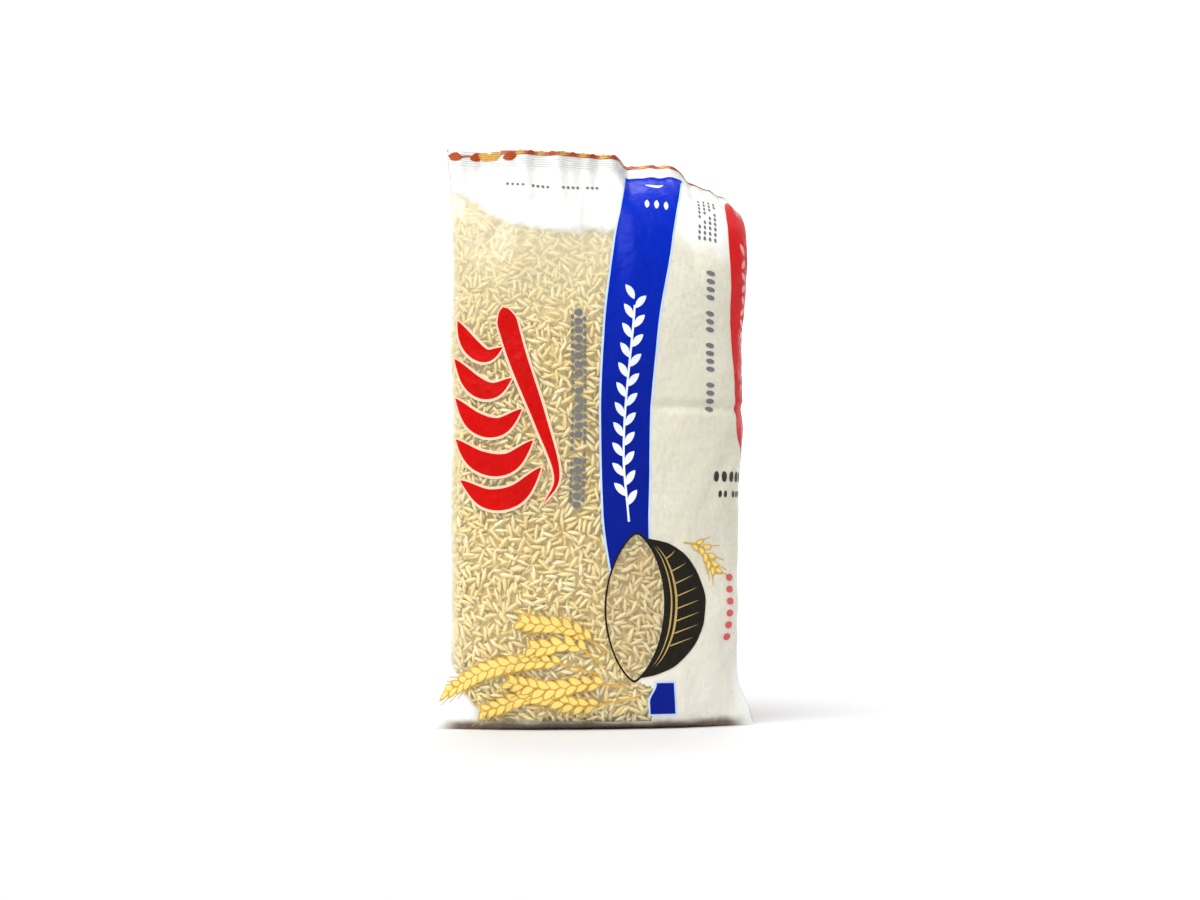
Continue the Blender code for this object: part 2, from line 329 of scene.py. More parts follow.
def leaned(x, y, height):
    """Points of a row laid back over the shoulder, as x, y and z."""
    share = sum(part * smooth(start, end, x) for start, end, part in LEAN_STEPS)
    full = LEAN_ANGLE * share
    y = y - LEAN_FORWARD * share * float(smooth(LEAN_FORWARD_FROM, LEAN_START, height))
    radius = LEAN_BEND / np.maximum(full, 1e-6)
    past = max(height - LEAN_START, 0.0)
    bent = min(past, LEAN_BEND)
    angle = bent / radius
    unbent = past - bent
    middle_z = min(height, LEAN_START) + radius * np.sin(angle) + unbent * np.cos(full)
    middle_y = radius * (1.0 - np.cos(angle)) + unbent * np.sin(full)
    slump = SLUMP * smooth(SLUMP_FROM_X, SLUMP_FULL_X, x) * float(smooth(SLUMP_FROM, SLUMP_FULL, height))
    return x, middle_y + y * np.cos(angle), middle_z - y * np.sin(angle) - slump


def placed(x, y, height):
    """Points of one row of the standing bag, from their x and y in the plain section."""
    x = x + SIDE_DRIFT * (height / FILM_LENGTH - 0.5)
    return np.stack(leaned(x, y + wave(x, height), height), axis=1)


class Film:
    """The film's surface as a grid of points and outward normals, read at any place on it."""

    def __init__(self):
        self.across = np.linspace(-FLAT_WIDTH, FLAT_WIDTH, CELLS_ACROSS + 1)
        step = FILM_LENGTH / ROWS_UP
        upper = [step * row for row in range(FIRST_PLAIN_ROW, ROWS_UP + 1)]
        self.heights = np.array([*CURL_HEIGHTS, *upper])
        grid_across, grid_height = np.meshgrid(self.across, self.heights)
        raised = lumps_and_creases(grid_across, grid_height) + crinkles(grid_across, grid_height)
        points, rooms = [], []
        for row, height in enumerate(self.heights):
            x, y = section(self.across, height)
            run_x, run_y = np.gradient(x), np.gradient(y)
            run_x[[0, -1]] = -1.0
            run_y[[0, -1]] = 0.0
            length = np.maximum(np.hypot(run_x, run_y), 1e-9)
            room = np.clip((np.abs(y) - RELIEF_ROOM) / RELIEF_ROOM_RUN, 0.0, 1.0)
            round_side = (along(ROUNDNESS, height) < ROUND_SIDED) * (1.0 - room)
            raise_by = raised[row] * np.maximum(room, round_side)
            if row == len(self.heights) - 1:
                y = y * 0.0
            points.append(placed(x + run_y / length * raise_by, y - run_x / length * raise_by, height))
            rooms.append(np.abs(y))
        points = np.array(points)
        points[:, -1] = points[:, 0]
        middle = (points.min(axis=(0, 1)) + points.max(axis=(0, 1))) / 2
        cad_middle = (np.array(BAG_LOW) + np.array(BAG_HIGH)) / 2
        self.points = points + (cad_middle - middle) * np.array([1.0, 1.0, 0.0])
        self.room = np.array(rooms)
        side_way = np.gradient(self.points, axis=1)
        side_way[:, [0, -1]] = (self.points[:, 1] - self.points[:, -2])[:, None]
        self.normals = unit(np.cross(side_way, np.gradient(self.points, axis=0)))

    def read(self, grid, across, height):
        """A grid's values at places on the film, between its four nearest points."""
        u = (np.asarray(across, float) + FLAT_WIDTH) % (2 * FLAT_WIDTH) / CELL
        v = np.interp(height, self.heights, np.arange(len(self.heights)))
        i = np.minimum(u.astype(int), CELLS_ACROSS - 1)
        j = np.minimum(v.astype(int), len(self.heights) - 2)
        s, t = u - i, v - j
        if grid.ndim == 3:
            s, t = s[..., None], t[..., None]
        low = grid[j, i] * (1 - s) + grid[j, i + 1] * s
        high = grid[j + 1, i] * (1 - s) + grid[j + 1, i + 1] * s
        return low * (1 - t) + high * t

    def at(self, across, height, lift=0.0):
        """Points at places on the film, lifted off it along its normal."""
        lifted = np.asarray(lift, float)[..., None] * self.read(self.normals, across, height)
        return self.read(self.points, across, height) + lifted


def unit(vectors):
    """Vectors of the same directions, each of length 1."""
    return vectors / np.maximum(np.linalg.norm(vectors, axis=-1), 1e-12)[..., None]


FILM = Film()


def grid_quads(rows, columns):
    """The quads of a grid of points, rows by columns."""
    j, i = np.meshgrid(np.arange(rows - 1), np.arange(columns - 1), indexing="ij")
    first = (j * columns + i).ravel()
    return np.stack([first, first + 1, first + columns + 1, first + columns], axis=1)


def tube_quads(rows, columns):
    """The quads of a grid of points that closes on itself sideways, as rows by columns by four."""
    j, i = np.meshgrid(np.arange(rows - 1), np.arange(columns), indexing="ij")
    following = (i + 1) % columns
    low, high = j * columns, (j + 1) * columns
    return np.stack([low + i, low + following, high + following, high + i], axis=2)


# Tools for materials


def new_material(name):
    """A material with its nodes, and the Principled shader that its output shows."""
    material = bpy.data.materials.new(name)
    material.use_nodes = True
    return material, material.node_tree.nodes["Principled BSDF"]


def srgb(red, green, blue):
    """A colour given as a screen shows it, in the renderer's own values."""
    shown = [value / 255 for value in (red, green, blue)]
    return (*[v / 12.92 if v <= 0.04045 else ((v + 0.055) / 1.055) ** 2.4 for v in shown], 1.0)


def give(material, value, socket):
    """Sets a socket to a number or colour, or joins it to another node's output."""
    if isinstance(value, bpy.types.NodeSocket):
        material.node_tree.links.new(value, socket)
    else:
        socket.default_value = value


def dress(material, node, **sockets):
    """Gives each named input of a node its number, its colour or the output that it reads."""
    for name, value in sockets.items():
        give(material, value, node.inputs[name.replace("_", " ")])


def add_node(material, kind, **settings):
    """A node with its properties set, and its inputs dressed where a setting names one."""
    node = material.node_tree.nodes.new(kind)
    for name, value in settings.items():
        if hasattr(node, name):
            setattr(node, name, value)
        else:
            dress(material, node, **{name: value})
    return node


def object_place(material):
    """The output that gives each point's place."""
    return add_node(material, "ShaderNodeTexCoord").outputs["Object"]


def film_place(material):
    """The outputs that give how far round and how far up the film a point lies, from 0 to 1."""
    film_map = add_node(material, "ShaderNodeUVMap", uv_map="film").outputs["UV"]
    split = add_node(material, "ShaderNodeSeparateXYZ", Vector=film_map)
    return split.outputs["X"], split.outputs["Y"]


def kept_value(material, name):
    """The output that gives a value kept on a piece's points."""
    return add_node(material, "ShaderNodeAttribute", attribute_name=name).outputs["Fac"]


def noise(material, place, scale, detail=2.0, roughness=0.5):
    """A soft noise over the piece, as a value from 0 to 1."""
    node = add_node(
        material, "ShaderNodeTexNoise", Vector=place, Scale=scale, Detail=detail, Roughness=roughness
    )
    return node.outputs["Fac"]


def sums(material, operation, first, second=0.0):
    """A math node on outputs or plain numbers."""
    node = add_node(material, "ShaderNodeMath", operation=operation)
    give(material, first, node.inputs[0])
    give(material, second, node.inputs[1])
    return node.outputs["Value"]


def plus(material, first, second):
    """The sum of two outputs or plain numbers."""
    return sums(material, "ADD", first, second)


def times(material, first, second):
    """The product of two outputs or plain numbers."""
    return sums(material, "MULTIPLY", first, second)


def between(material, value, low, high, to_low=0.0, to_high=1.0):
    """A value carried smoothly from one range to another."""
    node = add_node(
        material, "ShaderNodeMapRange", interpolation_type="SMOOTHSTEP",
        Value=value, From_Min=low, From_Max=high, To_Min=to_low, To_Max=to_high,
    )
    return node.outputs["Result"]


def mixed(material, factor, first, second):
    """Two colours mixed by a factor."""
    node = add_node(material, "ShaderNodeMix", data_type="RGBA", Factor=factor)
    # Its sockets for numbers, vectors and colours share their names, so those for colours go by number
    give(material, first, node.inputs[6])
    give(material, second, node.inputs[7])
    return node.outputs[2]


def sheen(material, place, scale, low, high):
    """A roughness that varies softly over the piece."""
    return between(material, noise(material, place, scale), 0.3, 0.7, low, high)


def grain_cells(material, place, squeeze, turn, scale, **settings):
    """Crowded cells of a grain's shape, as the distance from the middle of each."""
    stretched = add_node(
        material, "ShaderNodeMapping", Vector=place, Scale=(1.0, 1.0, squeeze), Rotation=turn
    )
    cells = add_node(
        material, "ShaderNodeTexVoronoi", Vector=stretched.outputs["Vector"], Scale=scale, **settings
    )
    return cells.outputs["Distance"]


def bumped(material, height, strength, distance, **settings):
    """The normal of a surface that a height stands out of."""
    bump = add_node(
        material, "ShaderNodeBump", Height=height, Strength=strength, Distance=distance, **settings
    )
    return bump.outputs["Normal"]


# Film and ink

CRIMP_PITCH = 0.0011
CRIMP_TURNS = 2 * math.pi * FILM_LENGTH / CRIMP_PITCH
SEAL_SHARE = WINDOW_HIGH / FILM_LENGTH
CRUMPLE_RELIEF, FINE_RELIEF, CRIMP_RELIEF = 0.60, 0.10, 0.13
# The colour of painted shade along the fold that the bag stands on
FOOT_SHADE_COLOUR = srgb(92, 66, 42)
# How much light the pane's darker film lets through, in each colour
PANE_SMOKE = (0.915, 0.905, 0.925, 1.0)


def film_relief(material, backed_bump):
    """The fine relief of film and print: a crumple, rice pressed on from inside, and the seal's crimp."""
    place = object_place(material)
    crumple = times(material, noise(material, place, 130.0, 3.0, 0.55), CRUMPLE_RELIEF)
    fine = times(material, noise(material, place, 620.0, 1.0), FINE_RELIEF)
    cells = grain_cells(
        material, place, 0.55, (0.3, 0.5, 0.2), 330.0, feature="SMOOTH_F1", Smoothness=0.5
    )
    pressed = times(material, times(material, cells, backed_bump), kept_value(material, "backed"))
    _, up_film = film_place(material)
    ribs = sums(material, "SINE", times(material, up_film, CRIMP_TURNS))
    in_seal = between(material, up_film, SEAL_SHARE, SEAL_SHARE + 0.004)
    crimp = times(material, times(material, ribs, in_seal), CRIMP_RELIEF)
    height = sums(material, "SUBTRACT", plus(material, crumple, fine), pressed)
    return place, bumped(material, plus(material, height, crimp), 1.0, 0.0010)


def ink_material(name, colour, foot_colour=None, roughness=0.30, gloss=0.25):
    """Printed ink under the film's gloss, a little uneven, and of another tone near the base where asked."""
    material, surface = new_material(name)
    place, normal = film_relief(material, 0.16)
    tone = between(material, noise(material, place, 60.0, 3.0), 0.30, 0.75)
    darker = tuple(value * 0.88 for value in colour[:3]) + (1.0,)
    shade = mixed(material, tone, darker, colour)
    if foot_colour:
        _, up_film = film_place(material)
        shade = mixed(material, between(material, up_film, 0.42, 1.0), foot_colour, shade)
    rough = sheen(material, place, 210.0, roughness - 0.06, roughness + 0.08)
    dress(material, surface, Base_Color=shade, Roughness=rough, Normal=normal, Specular_IOR_Level=gloss)
    return material


def painted_foot_shade(material, place):
    """How far painted shade darkens the film: along the fold that the bag stands on, with a ragged edge, and
    less near the sides.
    """
    round_film, up_film = film_place(material)
    ragged = between(material, noise(material, place, 60.0, 3.0), 0.25, 0.75, -0.0045, 0.0045)
    low = between(material, plus(material, up_film, ragged), 0.0070, 0.0225, 0.95, 0.0)
    from_middle = sums(material, "ABSOLUTE", sums(material, "SUBTRACT", round_film, 0.5))
    from_side = sums(material, "ABSOLUTE", sums(material, "SUBTRACT", from_middle, 0.25))
    return times(material, low, between(material, from_side, 0.008, 0.040, 0.12, 1.0))


def white_film_material():
    """White printed film: clean over air, creamier and faintly mottled where rice lies behind it, and
    darkened by painted shade along its foot.
    """
    material, surface = new_material("white_film")
    place, normal = film_relief(material, 0.24)
    _, up_film = film_place(material)
    cloud = between(material, noise(material, place, 28.0, 3.0), 0.30, 0.70)
    cream = mixed(material, cloud, srgb(208, 203, 184), srgb(215, 211, 194))
    speckle = between(material, noise(material, place, 420.0, 2.0), 0.28, 0.60)
    cream = mixed(material, speckle, srgb(207, 202, 182), cream)
    foot = between(material, up_film, 0.02, 0.34, 0.85, 0.0)
    cream = mixed(material, foot, cream, srgb(229, 224, 212))
    clean = mixed(material, kept_value(material, "backed"), srgb(233, 234, 230), cream)
    # Painted shade darkens the film along the fold that it stands on
    dress(
        material, surface, Base_Color=mixed(material, painted_foot_shade(material, place), clean, FOOT_SHADE_COLOUR),
        Roughness=sheen(material, place, 190.0, 0.26, 0.40), Normal=normal,
        Coat_Weight=0.25, Coat_Roughness=0.12,
    )
    return material


def clear_film_material():
    """Clear film: see-through, with a faint haze and sharp glints along its creases, painted glare whitening
    it near the window's top and sides, and painted shade along its foot.
    """
    material, surface = new_material("clear_film")
    place, normal = film_relief(material, 0.10)
    # The white share holds the white print over air and the painted glare near the window's top and sides
    white = kept_value(material, "white")
    # Painted shade along the fold that the bag stands on
    shade_at_foot = painted_foot_shade(material, place)
    whitened = between(material, white, 0.40, 0.90)
    colour = mixed(material, whitened, srgb(243, 233, 196), srgb(228, 229, 225))
    rough = plus(material, sheen(material, place, 160.0, 0.10, 0.20), times(material, white, 0.2))
    dress(
        material, surface, Base_Color=mixed(material, shade_at_foot, colour, FOOT_SHADE_COLOUR), Roughness=rough, Normal=normal,
        Metallic=between(material, white, 0.0, 0.3, 0.40, 0.0),
    )
    smoke = mixed(material, kept_value(material, "smoked"), (1.0, 1.0, 1.0, 1.0), PANE_SMOKE)
    clear = add_node(material, "ShaderNodeBsdfTransparent", Color=smoke)
    facing = add_node(material, "ShaderNodeLayerWeight", Blend=0.5, Normal=normal)
    grazing = sums(material, "POWER", facing.outputs["Facing"], 5.0)
    glint = plus(material, times(material, grazing, 0.8), 0.045)
    haze = between(material, noise(material, place, 70.0, 3.0), 0.35, 0.75, 0.10, 0.17)
    share = sums(material, "MAXIMUM", plus(material, glint, haze), white)
    # Where painted shade darkens the foot, the film turns opaque
    share = sums(material, "MAXIMUM", share, times(material, shade_at_foot, 0.9))
    mix = add_node(material, "ShaderNodeMixShader", Fac=share)
    give(material, clear.outputs["BSDF"], mix.inputs[1])
    give(material, surface.outputs["BSDF"], mix.inputs[2])
    dress(material, material.node_tree.nodes["Material Output"], Surface=mix.outputs["Shader"])
    return material


def seam_material():
    """White film pressed into fine ribs by the sealing jaws."""
    material, surface = new_material("seam_film")
    place = object_place(material)
    sides = add_node(material, "ShaderNodeSeparateXYZ", Vector=place)
    ribs = sums(material, "SINE", times(material, sides.outputs["X"], 2 * math.pi / CRIMP_PITCH))
    soft = times(material, noise(material, place, 140.0, 3.0), 1.4)
    height = plus(material, times(material, ribs, 0.3), soft)
    tone = between(material, noise(material, place, 40.0, 3.0), 0.3, 0.7)
    dress(
        material, surface, Base_Color=mixed(material, tone, srgb(238, 236, 228), srgb(250, 249, 244)),
        Roughness=between(material, tone, 0.0, 1.0, 0.30, 0.42),
        Normal=bumped(material, height, 1.0, 0.0004),
    )
    return material


# Pieces of film


def keep_on_points(mesh, name, values):
    """Keeps one value for each point of a mesh, for its material to read."""
    kept = mesh.attributes.new(name, "FLOAT", "POINT")
    kept.data.foreach_set("value", np.asarray(values, np.float32).ravel())


def piece_from(name, points, faces, material, slot, film_places=None, backed=None):
    """A finished piece: its mesh in place, its film map if it has one, and its ride on the bag. Its slot is
    not used.
    """
    mesh = bpy.data.meshes.new(name)
    mesh.from_pydata(np.asarray(points).tolist(), [], faces)
    if film_places is not None:
        layer = mesh.uv_layers.new(name="film")
        corner_points = np.zeros(len(mesh.loops), int)
        mesh.loops.foreach_get("vertex_index", corner_points)
        places = np.asarray(film_places)[corner_points]
        share = np.stack([places[:, 0] / (2 * FLAT_WIDTH) + 0.5, places[:, 1] / FILM_LENGTH], axis=1)
        layer.data.foreach_set("uv", share.astype(np.float32).ravel())
    if backed is not None:
        keep_on_points(mesh, "backed", backed)
    mesh.materials.append(material)
    mesh.shade_smooth()
    piece = bpy.data.objects.new(name, mesh)
    bpy.context.scene.collection.objects.link(piece)
    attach(piece, "root")
    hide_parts("rice_bag")
    return piece


def rice_level(across):
    """The height along the film that the rice reaches at places across, on the front or the back."""
    from_middle = np.abs(across)
    in_front = np.where(from_middle > FLAT_WIDTH / 2, FLAT_WIDTH - from_middle, from_middle) * np.sign(across)
    return straight(RICE_LEVEL, in_front)


def rice_room(across, height):
    """How far the film stands off the bag's middle, taken as roomy all round the filled body's sides."""
    room = FILM.read(FILM.room, across, height)
    round_body = smooth(*BODY_FROM, height) * (1.0 - smooth(*BODY_TO, height))
    return np.maximum(room, BODY_ROOM * round_body)


def rice_backed(across, height):
    """1 where rice presses on the film from inside, 0 where only air does."""
    filled = smooth(*BACKED_ROOM, rice_room(across, height))
    return filled * (1.0 - smooth(*BACKED_FADE, height - rice_level(across)))


def white_and_glare_share(across, height):
    """How white the window's film is: all white over air and at its empty corner, and whitened near the
    window's top and sides by painted glare.
    """
    ragged = uneven(RAGGED_EDGE, across, height)
    header = smooth(-EDGE_SOFTNESS, EDGE_SOFTNESS, height - straight(HEADER_EDGE, across) + ragged)
    empty_corner = smooth(-EDGE_SOFTNESS, EDGE_SOFTNESS, straight(CORNER_EDGE, across) - height + ragged)
    # Painted glare: the film whitened towards the window's top and towards its sides
    top_glare = TOP_GLARE * smooth(*TOP_GLARE_FADE, height)
    side_glare = SIDE_GLARE * smooth(*SIDE_GLARE_FADE, np.abs(across))
    return np.max([header, empty_corner, top_glare, side_glare], axis=0)


def pane_reach(across, height, grow=0.0):
    """Below 1 inside the leaf-shaped pane, above it outside."""
    up = (height - PANE_MIDDLE[1]) / (PANE_HALF_HEIGHT + grow)
    half = (PANE_HALF_WIDTH + grow) * np.clip(1.0 - up**2, 0.0, 1.0) ** PANE_FULLNESS
    return np.abs(across - PANE_MIDDLE[0]) / np.maximum(half, 1e-6)


def in_window(across, height):
    """True on the clear film: the window, and the pane that reaches past it."""
    clear = (across > WINDOW_FROM) & (across < straight(WINDOW_RIGHT, height))
    clear &= (height > WINDOW_LOW) & (height < WINDOW_HIGH)
    return clear | (pane_reach(across, height) < 1.0)


def film_pieces():
    """The film as two sheets that share their edge: the clear window and the white print round it."""
    around = FILM.across[:CELLS_ACROSS]
    points = FILM.points[:, :CELLS_ACROSS].reshape(-1, 3)
    places = np.stack(np.meshgrid(around, FILM.heights), axis=2).reshape(-1, 2)
    backed = rice_backed(*places.T)
    clear = in_window(*np.meshgrid(around + CELL / 2, (FILM.heights[:-1] + FILM.heights[1:]) / 2))
    quads = tube_quads(len(FILM.heights), CELLS_ACROSS)

    def sheet(name, faces, material, slot):
        used, renumbered = np.unique(faces, return_inverse=True)
        faces = renumbered.reshape(faces.shape).tolist()
        piece = piece_from(name, points[used], faces, material, slot, places[used], backed[used])
        return piece, places[used].T

    window, spots = sheet("window_film", quads[clear], clear_film_material(), "clear_film")
    # The white share carries painted glare near the window's top and sides
    keep_on_points(window.data, "white", white_and_glare_share(*spots))
    keep_on_points(window.data, "smoked", 1.0 - smooth(*PANE_EDGE_FADE, pane_reach(*spots)))
    white, _ = sheet("printed_film", quads[~clear], white_film_material(), "printed_film")
    close_seams(white)


def close_seams(sheet):
    """Joins the two films along the top of the seal, and down the back where the sheet's edges meet."""
    bpy.ops.object.select_all(action="DESELECT")
    bpy.context.view_layer.objects.active = sheet
    sheet.select_set(True)
    bpy.ops.object.mode_set(mode="EDIT")
    bpy.ops.mesh.select_all(action="SELECT")
    bpy.ops.mesh.remove_doubles(threshold=0.00001)
    bpy.ops.object.mode_set(mode="OBJECT")
    sheet.select_set(False)


def thicken(piece, thickness):
    """Gives a strip of film its folded thickness, inwards."""
    wall = piece.modifiers.new("thickness", "SOLIDIFY")
    wall.thickness = thickness
    wall.offset = -1.0
    bpy.context.view_layer.objects.active = piece
    piece.select_set(True)
    bpy.ops.object.modifier_apply(modifier=wall.name)
    piece.select_set(False)


BASE_STEPS = 12
BASE_RISE = 0.0009
# The bottom seal lies flat against the base, clear of its pointed ends
BASE_SEAL_HALF_WIDTH, BASE_SEAL_HALF_LENGTH = 0.0050, 0.0560
BASE_SEAL_HEIGHT, BASE_SEAL_THICKNESS = 0.0006, 0.0004
BASE_SEAL_COLUMNS = 9


def base():
    """The film under the bag, and the bottom seal folded flat against it."""
    half, quarter_cells = CELLS_ACROSS // 2, CELLS_ACROSS // 4
    front_columns = np.arange(half - quarter_cells, half + quarter_cells + 1)
    right_side = front_columns >= half
    back_columns = np.where(right_side, CELLS_ACROSS + half - front_columns, half - front_columns)
    front, back = FILM.points[0, front_columns], FILM.points[0, back_columns]
    share = np.linspace(0.0, 1.0, BASE_STEPS + 1)[None, :, None]
    sheet = front[:, None] * (1 - share) + back[:, None] * share
    sheet[..., 2] = BASE_RISE * np.sin(math.pi * share[..., 0]) ** 0.5
    middle = sheet[:, BASE_STEPS // 2]
    middle = middle[np.abs(middle[:, 0]) < BASE_SEAL_HALF_LENGTH]
    spread = np.linspace(-BASE_SEAL_HALF_WIDTH, BASE_SEAL_HALF_WIDTH, BASE_SEAL_COLUMNS)
    strip = middle[:, None, :] + np.array([0.0, 1.0, 0.0]) * spread[None, :, None]
    strip[..., 2] = BASE_SEAL_HEIGHT
    material = seam_material()

    def pressed(name, grid):
        faces = grid_quads(*grid.shape[:2]).tolist()
        return piece_from(name, grid.reshape(-1, 3), faces, material, "printed_film")

    pressed("base_film", sheet)
    thicken(pressed("base_seal", strip), BASE_SEAL_THICKNESS)


# Tools for print

PRINT_CELL = 0.0013
# How far each print lies off the film, so that none hides another that it should lie under
PRINT_LIFT = {
    "seal_line": 0.00012, "seal_leaves_red": 0.00020, "seal_leaves_gold": 0.00024,
    "band_edge": 0.00012, "blue_band": 0.00020, "band_sprig": 0.00034,
    "emblem_rim": 0.00018, "emblem": 0.00027,
    "grey_marks": 0.00020, "black_marks": 0.00020, "red_marks": 0.00020,
    "ears_deep": 0.00016, "ears_light": 0.00019, "dark_leaf": 0.00030, "leaf_veins": 0.00040,
    "side_band": 0.00014, "side_leaves": 0.00026, "back_seam": 0.00055,
}


class Print:
    """Flat print shapes gathered as small quads in film places, to be laid on the film as one piece."""

    def __init__(self):
        self.places = []
        self.lifts = []
        self.faces = []
        self.count = 0

    def add_grid(self, across, height, over=0.0):
        """A grid of places, rows by columns, laid a little over the rest of the print that it overlaps."""
        self.faces.append(self.count + grid_quads(*across.shape))
        self.places.append(np.stack([across.ravel(), height.ravel()], axis=1))
        self.lifts.append(np.full(across.size, over))
        self.count += across.size

    def add_rows(self, across, heights):
        """A grid of places whose rows each have one height."""
        self.add_grid(across, np.repeat(np.asarray(heights)[:, None], across.shape[1], axis=1))

    def piece(self, name, material):
        """The print as one piece, lifted off the film, with points that coincide made one."""
        places = np.concatenate(self.places)
        lifts = PRINT_LIFT[name] + np.concatenate(self.lifts)
        corners = np.round(np.column_stack([places, lifts]), 7)
        _, first, renumbered = np.unique(corners, axis=0, return_index=True, return_inverse=True)
        places, lifts = places[first], lifts[first]
        faces = []
        for face in renumbered.ravel()[np.concatenate(self.faces)].tolist():
            around = [point for n, point in enumerate(face) if point != face[n - 1]]
            if len(around) > 2:
                faces.append(around if facing_out(places, around) else around[::-1])
        points = FILM.at(*places.T, lifts)
        return piece_from(name, points, faces, material, "printed_film", places, rice_backed(*places.T))


def facing_out(places, face):
    """True if a face's places turn anticlockwise, so that it faces out of the film."""
    corners = places[face]
    following = np.roll(corners, -1, axis=0)
    return np.sum(corners[:, 0] * following[:, 1] - following[:, 0] * corners[:, 1]) >= 0.0


def smooth_line(stations, count):
    """Evenly spread points on a smooth curve through a few stations, and the curve's length."""
    stations = np.array(stations, float)
    ends = np.concatenate([[2 * stations[0] - stations[1]], stations, [2 * stations[-1] - stations[-2]]])
    fine = []
    for k in range(len(stations) - 1):
        a, b, c, d = ends[k:k + 4]
        t = np.linspace(0.0, 1.0, 24, endpoint=k == len(stations) - 2)[:, None]
        curve = 2 * b + (c - a) * t + (2 * a - 5 * b + 4 * c - d) * t**2 + (3 * b - a - 3 * c + d) * t**3
        fine.append(0.5 * curve)
    fine = np.concatenate(fine)
    length = run_length(fine[:, 0], fine[:, 1])
    marks = np.linspace(0.0, length[-1], count)
    line = np.stack([np.interp(marks, length, fine[:, 0]), np.interp(marks, length, fine[:, 1])], axis=1)
    return line, length[-1]


def ribbon(sheet, stations, half_width, profile, grow=0.0, over=0.0):
    """A shape along a curve: half_width times the profile wide, and grown by a rim where asked."""
    _, length = smooth_line(stations, 3)
    count = max(9, math.ceil((length + 2 * grow) / PRINT_CELL) + 1)
    line, _ = smooth_line(stations, count)
    heading = np.gradient(line, axis=0)
    heading /= np.maximum(np.linalg.norm(heading, axis=1), 1e-9)[:, None]
    side = np.stack([-heading[:, 1], heading[:, 0]], axis=1)
    share = np.linspace(0.0, 1.0, count)
    half = half_width * profile(share)
    if grow:
        line[0] -= heading[0] * grow
        line[-1] += heading[-1] * grow
        half = half + grow * np.sin(math.pi * share) ** 0.25
    columns = max(3, math.ceil(2 * half.max() / PRINT_CELL) + 1)
    spread = np.linspace(-1.0, 1.0, columns)
    across = line[:, 0, None] + side[:, 0, None] * half[:, None] * spread
    height = line[:, 1, None] + side[:, 1, None] * half[:, None] * spread
    sheet.add_grid(across, height, over)


def leaf(share):
    """A leaf's width along it, pointed at both ends."""
    return np.sin(math.pi * share) ** 0.8


def grain(share):
    """A grain's width along it, round at both ends."""
    return np.sqrt(np.clip(1.0 - (2.0 * share - 1.0) ** 2, 0.0, 1.0))


def bar(share):
    """A bar's width along it: the same all the way."""
    return np.ones_like(share)


def swoosh(share):
    """A brush stroke's width: broad at its start, tapering to a point."""
    return np.clip(share * 14.0, 0.0, 1.0) ** 0.5 * (1.0 - share**1.6) ** 0.9


def upright(sheet, left, right, low, high):
    """A band up the film between two edges, each a function of height, on the film's own grid of points."""
    inside = (FILM.heights > low + 0.0002) & (FILM.heights < high - 0.0002)
    heights = np.array([low, *FILM.heights[inside], high])
    lefts = np.array([left(h) for h in heights])
    rights = np.array([right(h) for h in heights])
    inside = (FILM.across > lefts.min()) & (FILM.across < rights.max())
    columns = np.array([lefts.min(), *FILM.across[inside], rights.max()])
    sheet.add_rows(np.clip(columns[None, :], lefts[:, None], rights[:, None]), heights)


def beads(sheet, stations, length, half_width, pitch, gaps=()):
    """A row of small marks along a curve, with every mark left out whose number is in gaps."""
    _, run = smooth_line(stations, 3)
    count = max(2, round(run / pitch) + 1)
    line, _ = smooth_line(stations, count)
    heading = unit(np.gradient(line, axis=0))
    for number in range(count):
        if number not in gaps:
            reach = heading[number] * length / 2
            ribbon(sheet, (line[number] - reach, line[number] + reach), half_width, grain)


def turned(heading, angle):
    """A direction on the film, turned anticlockwise."""
    return np.array([
        heading[0] * math.cos(angle) - heading[1] * math.sin(angle),
        heading[0] * math.sin(angle) + heading[1] * math.cos(angle),
    ])


# Prints

SEAM_FROM, SEAM_WIDTH = FLAT_WIDTH - 0.0055, 0.0110
SEAM_LOW, SEAM_HIGH = 0.0035, WINDOW_HIGH - 0.001
SEAM_ROWS, SEAM_COLUMNS = 230, 10
SEAM_THICKNESS = 0.0003


def back_seam():
    """The long seam of the film, folded flat to one side down the back."""
    strip = Print()
    across = SEAM_FROM + SEAM_WIDTH * np.linspace(0.0, 1.0, SEAM_COLUMNS)
    strip.add_rows(np.tile(across, (SEAM_ROWS, 1)), np.linspace(SEAM_LOW, SEAM_HIGH, SEAM_ROWS))
    thicken(strip.piece("back_seam", seam_material()), SEAM_THICKNESS)


def pane_half(height):
    """Half the pane's width at a height, and nothing past its tips."""
    up = (height - PANE_MIDDLE[1]) / PANE_HALF_HEIGHT
    return PANE_HALF_WIDTH * max(0.0, 1.0 - up**2) ** PANE_FULLNESS


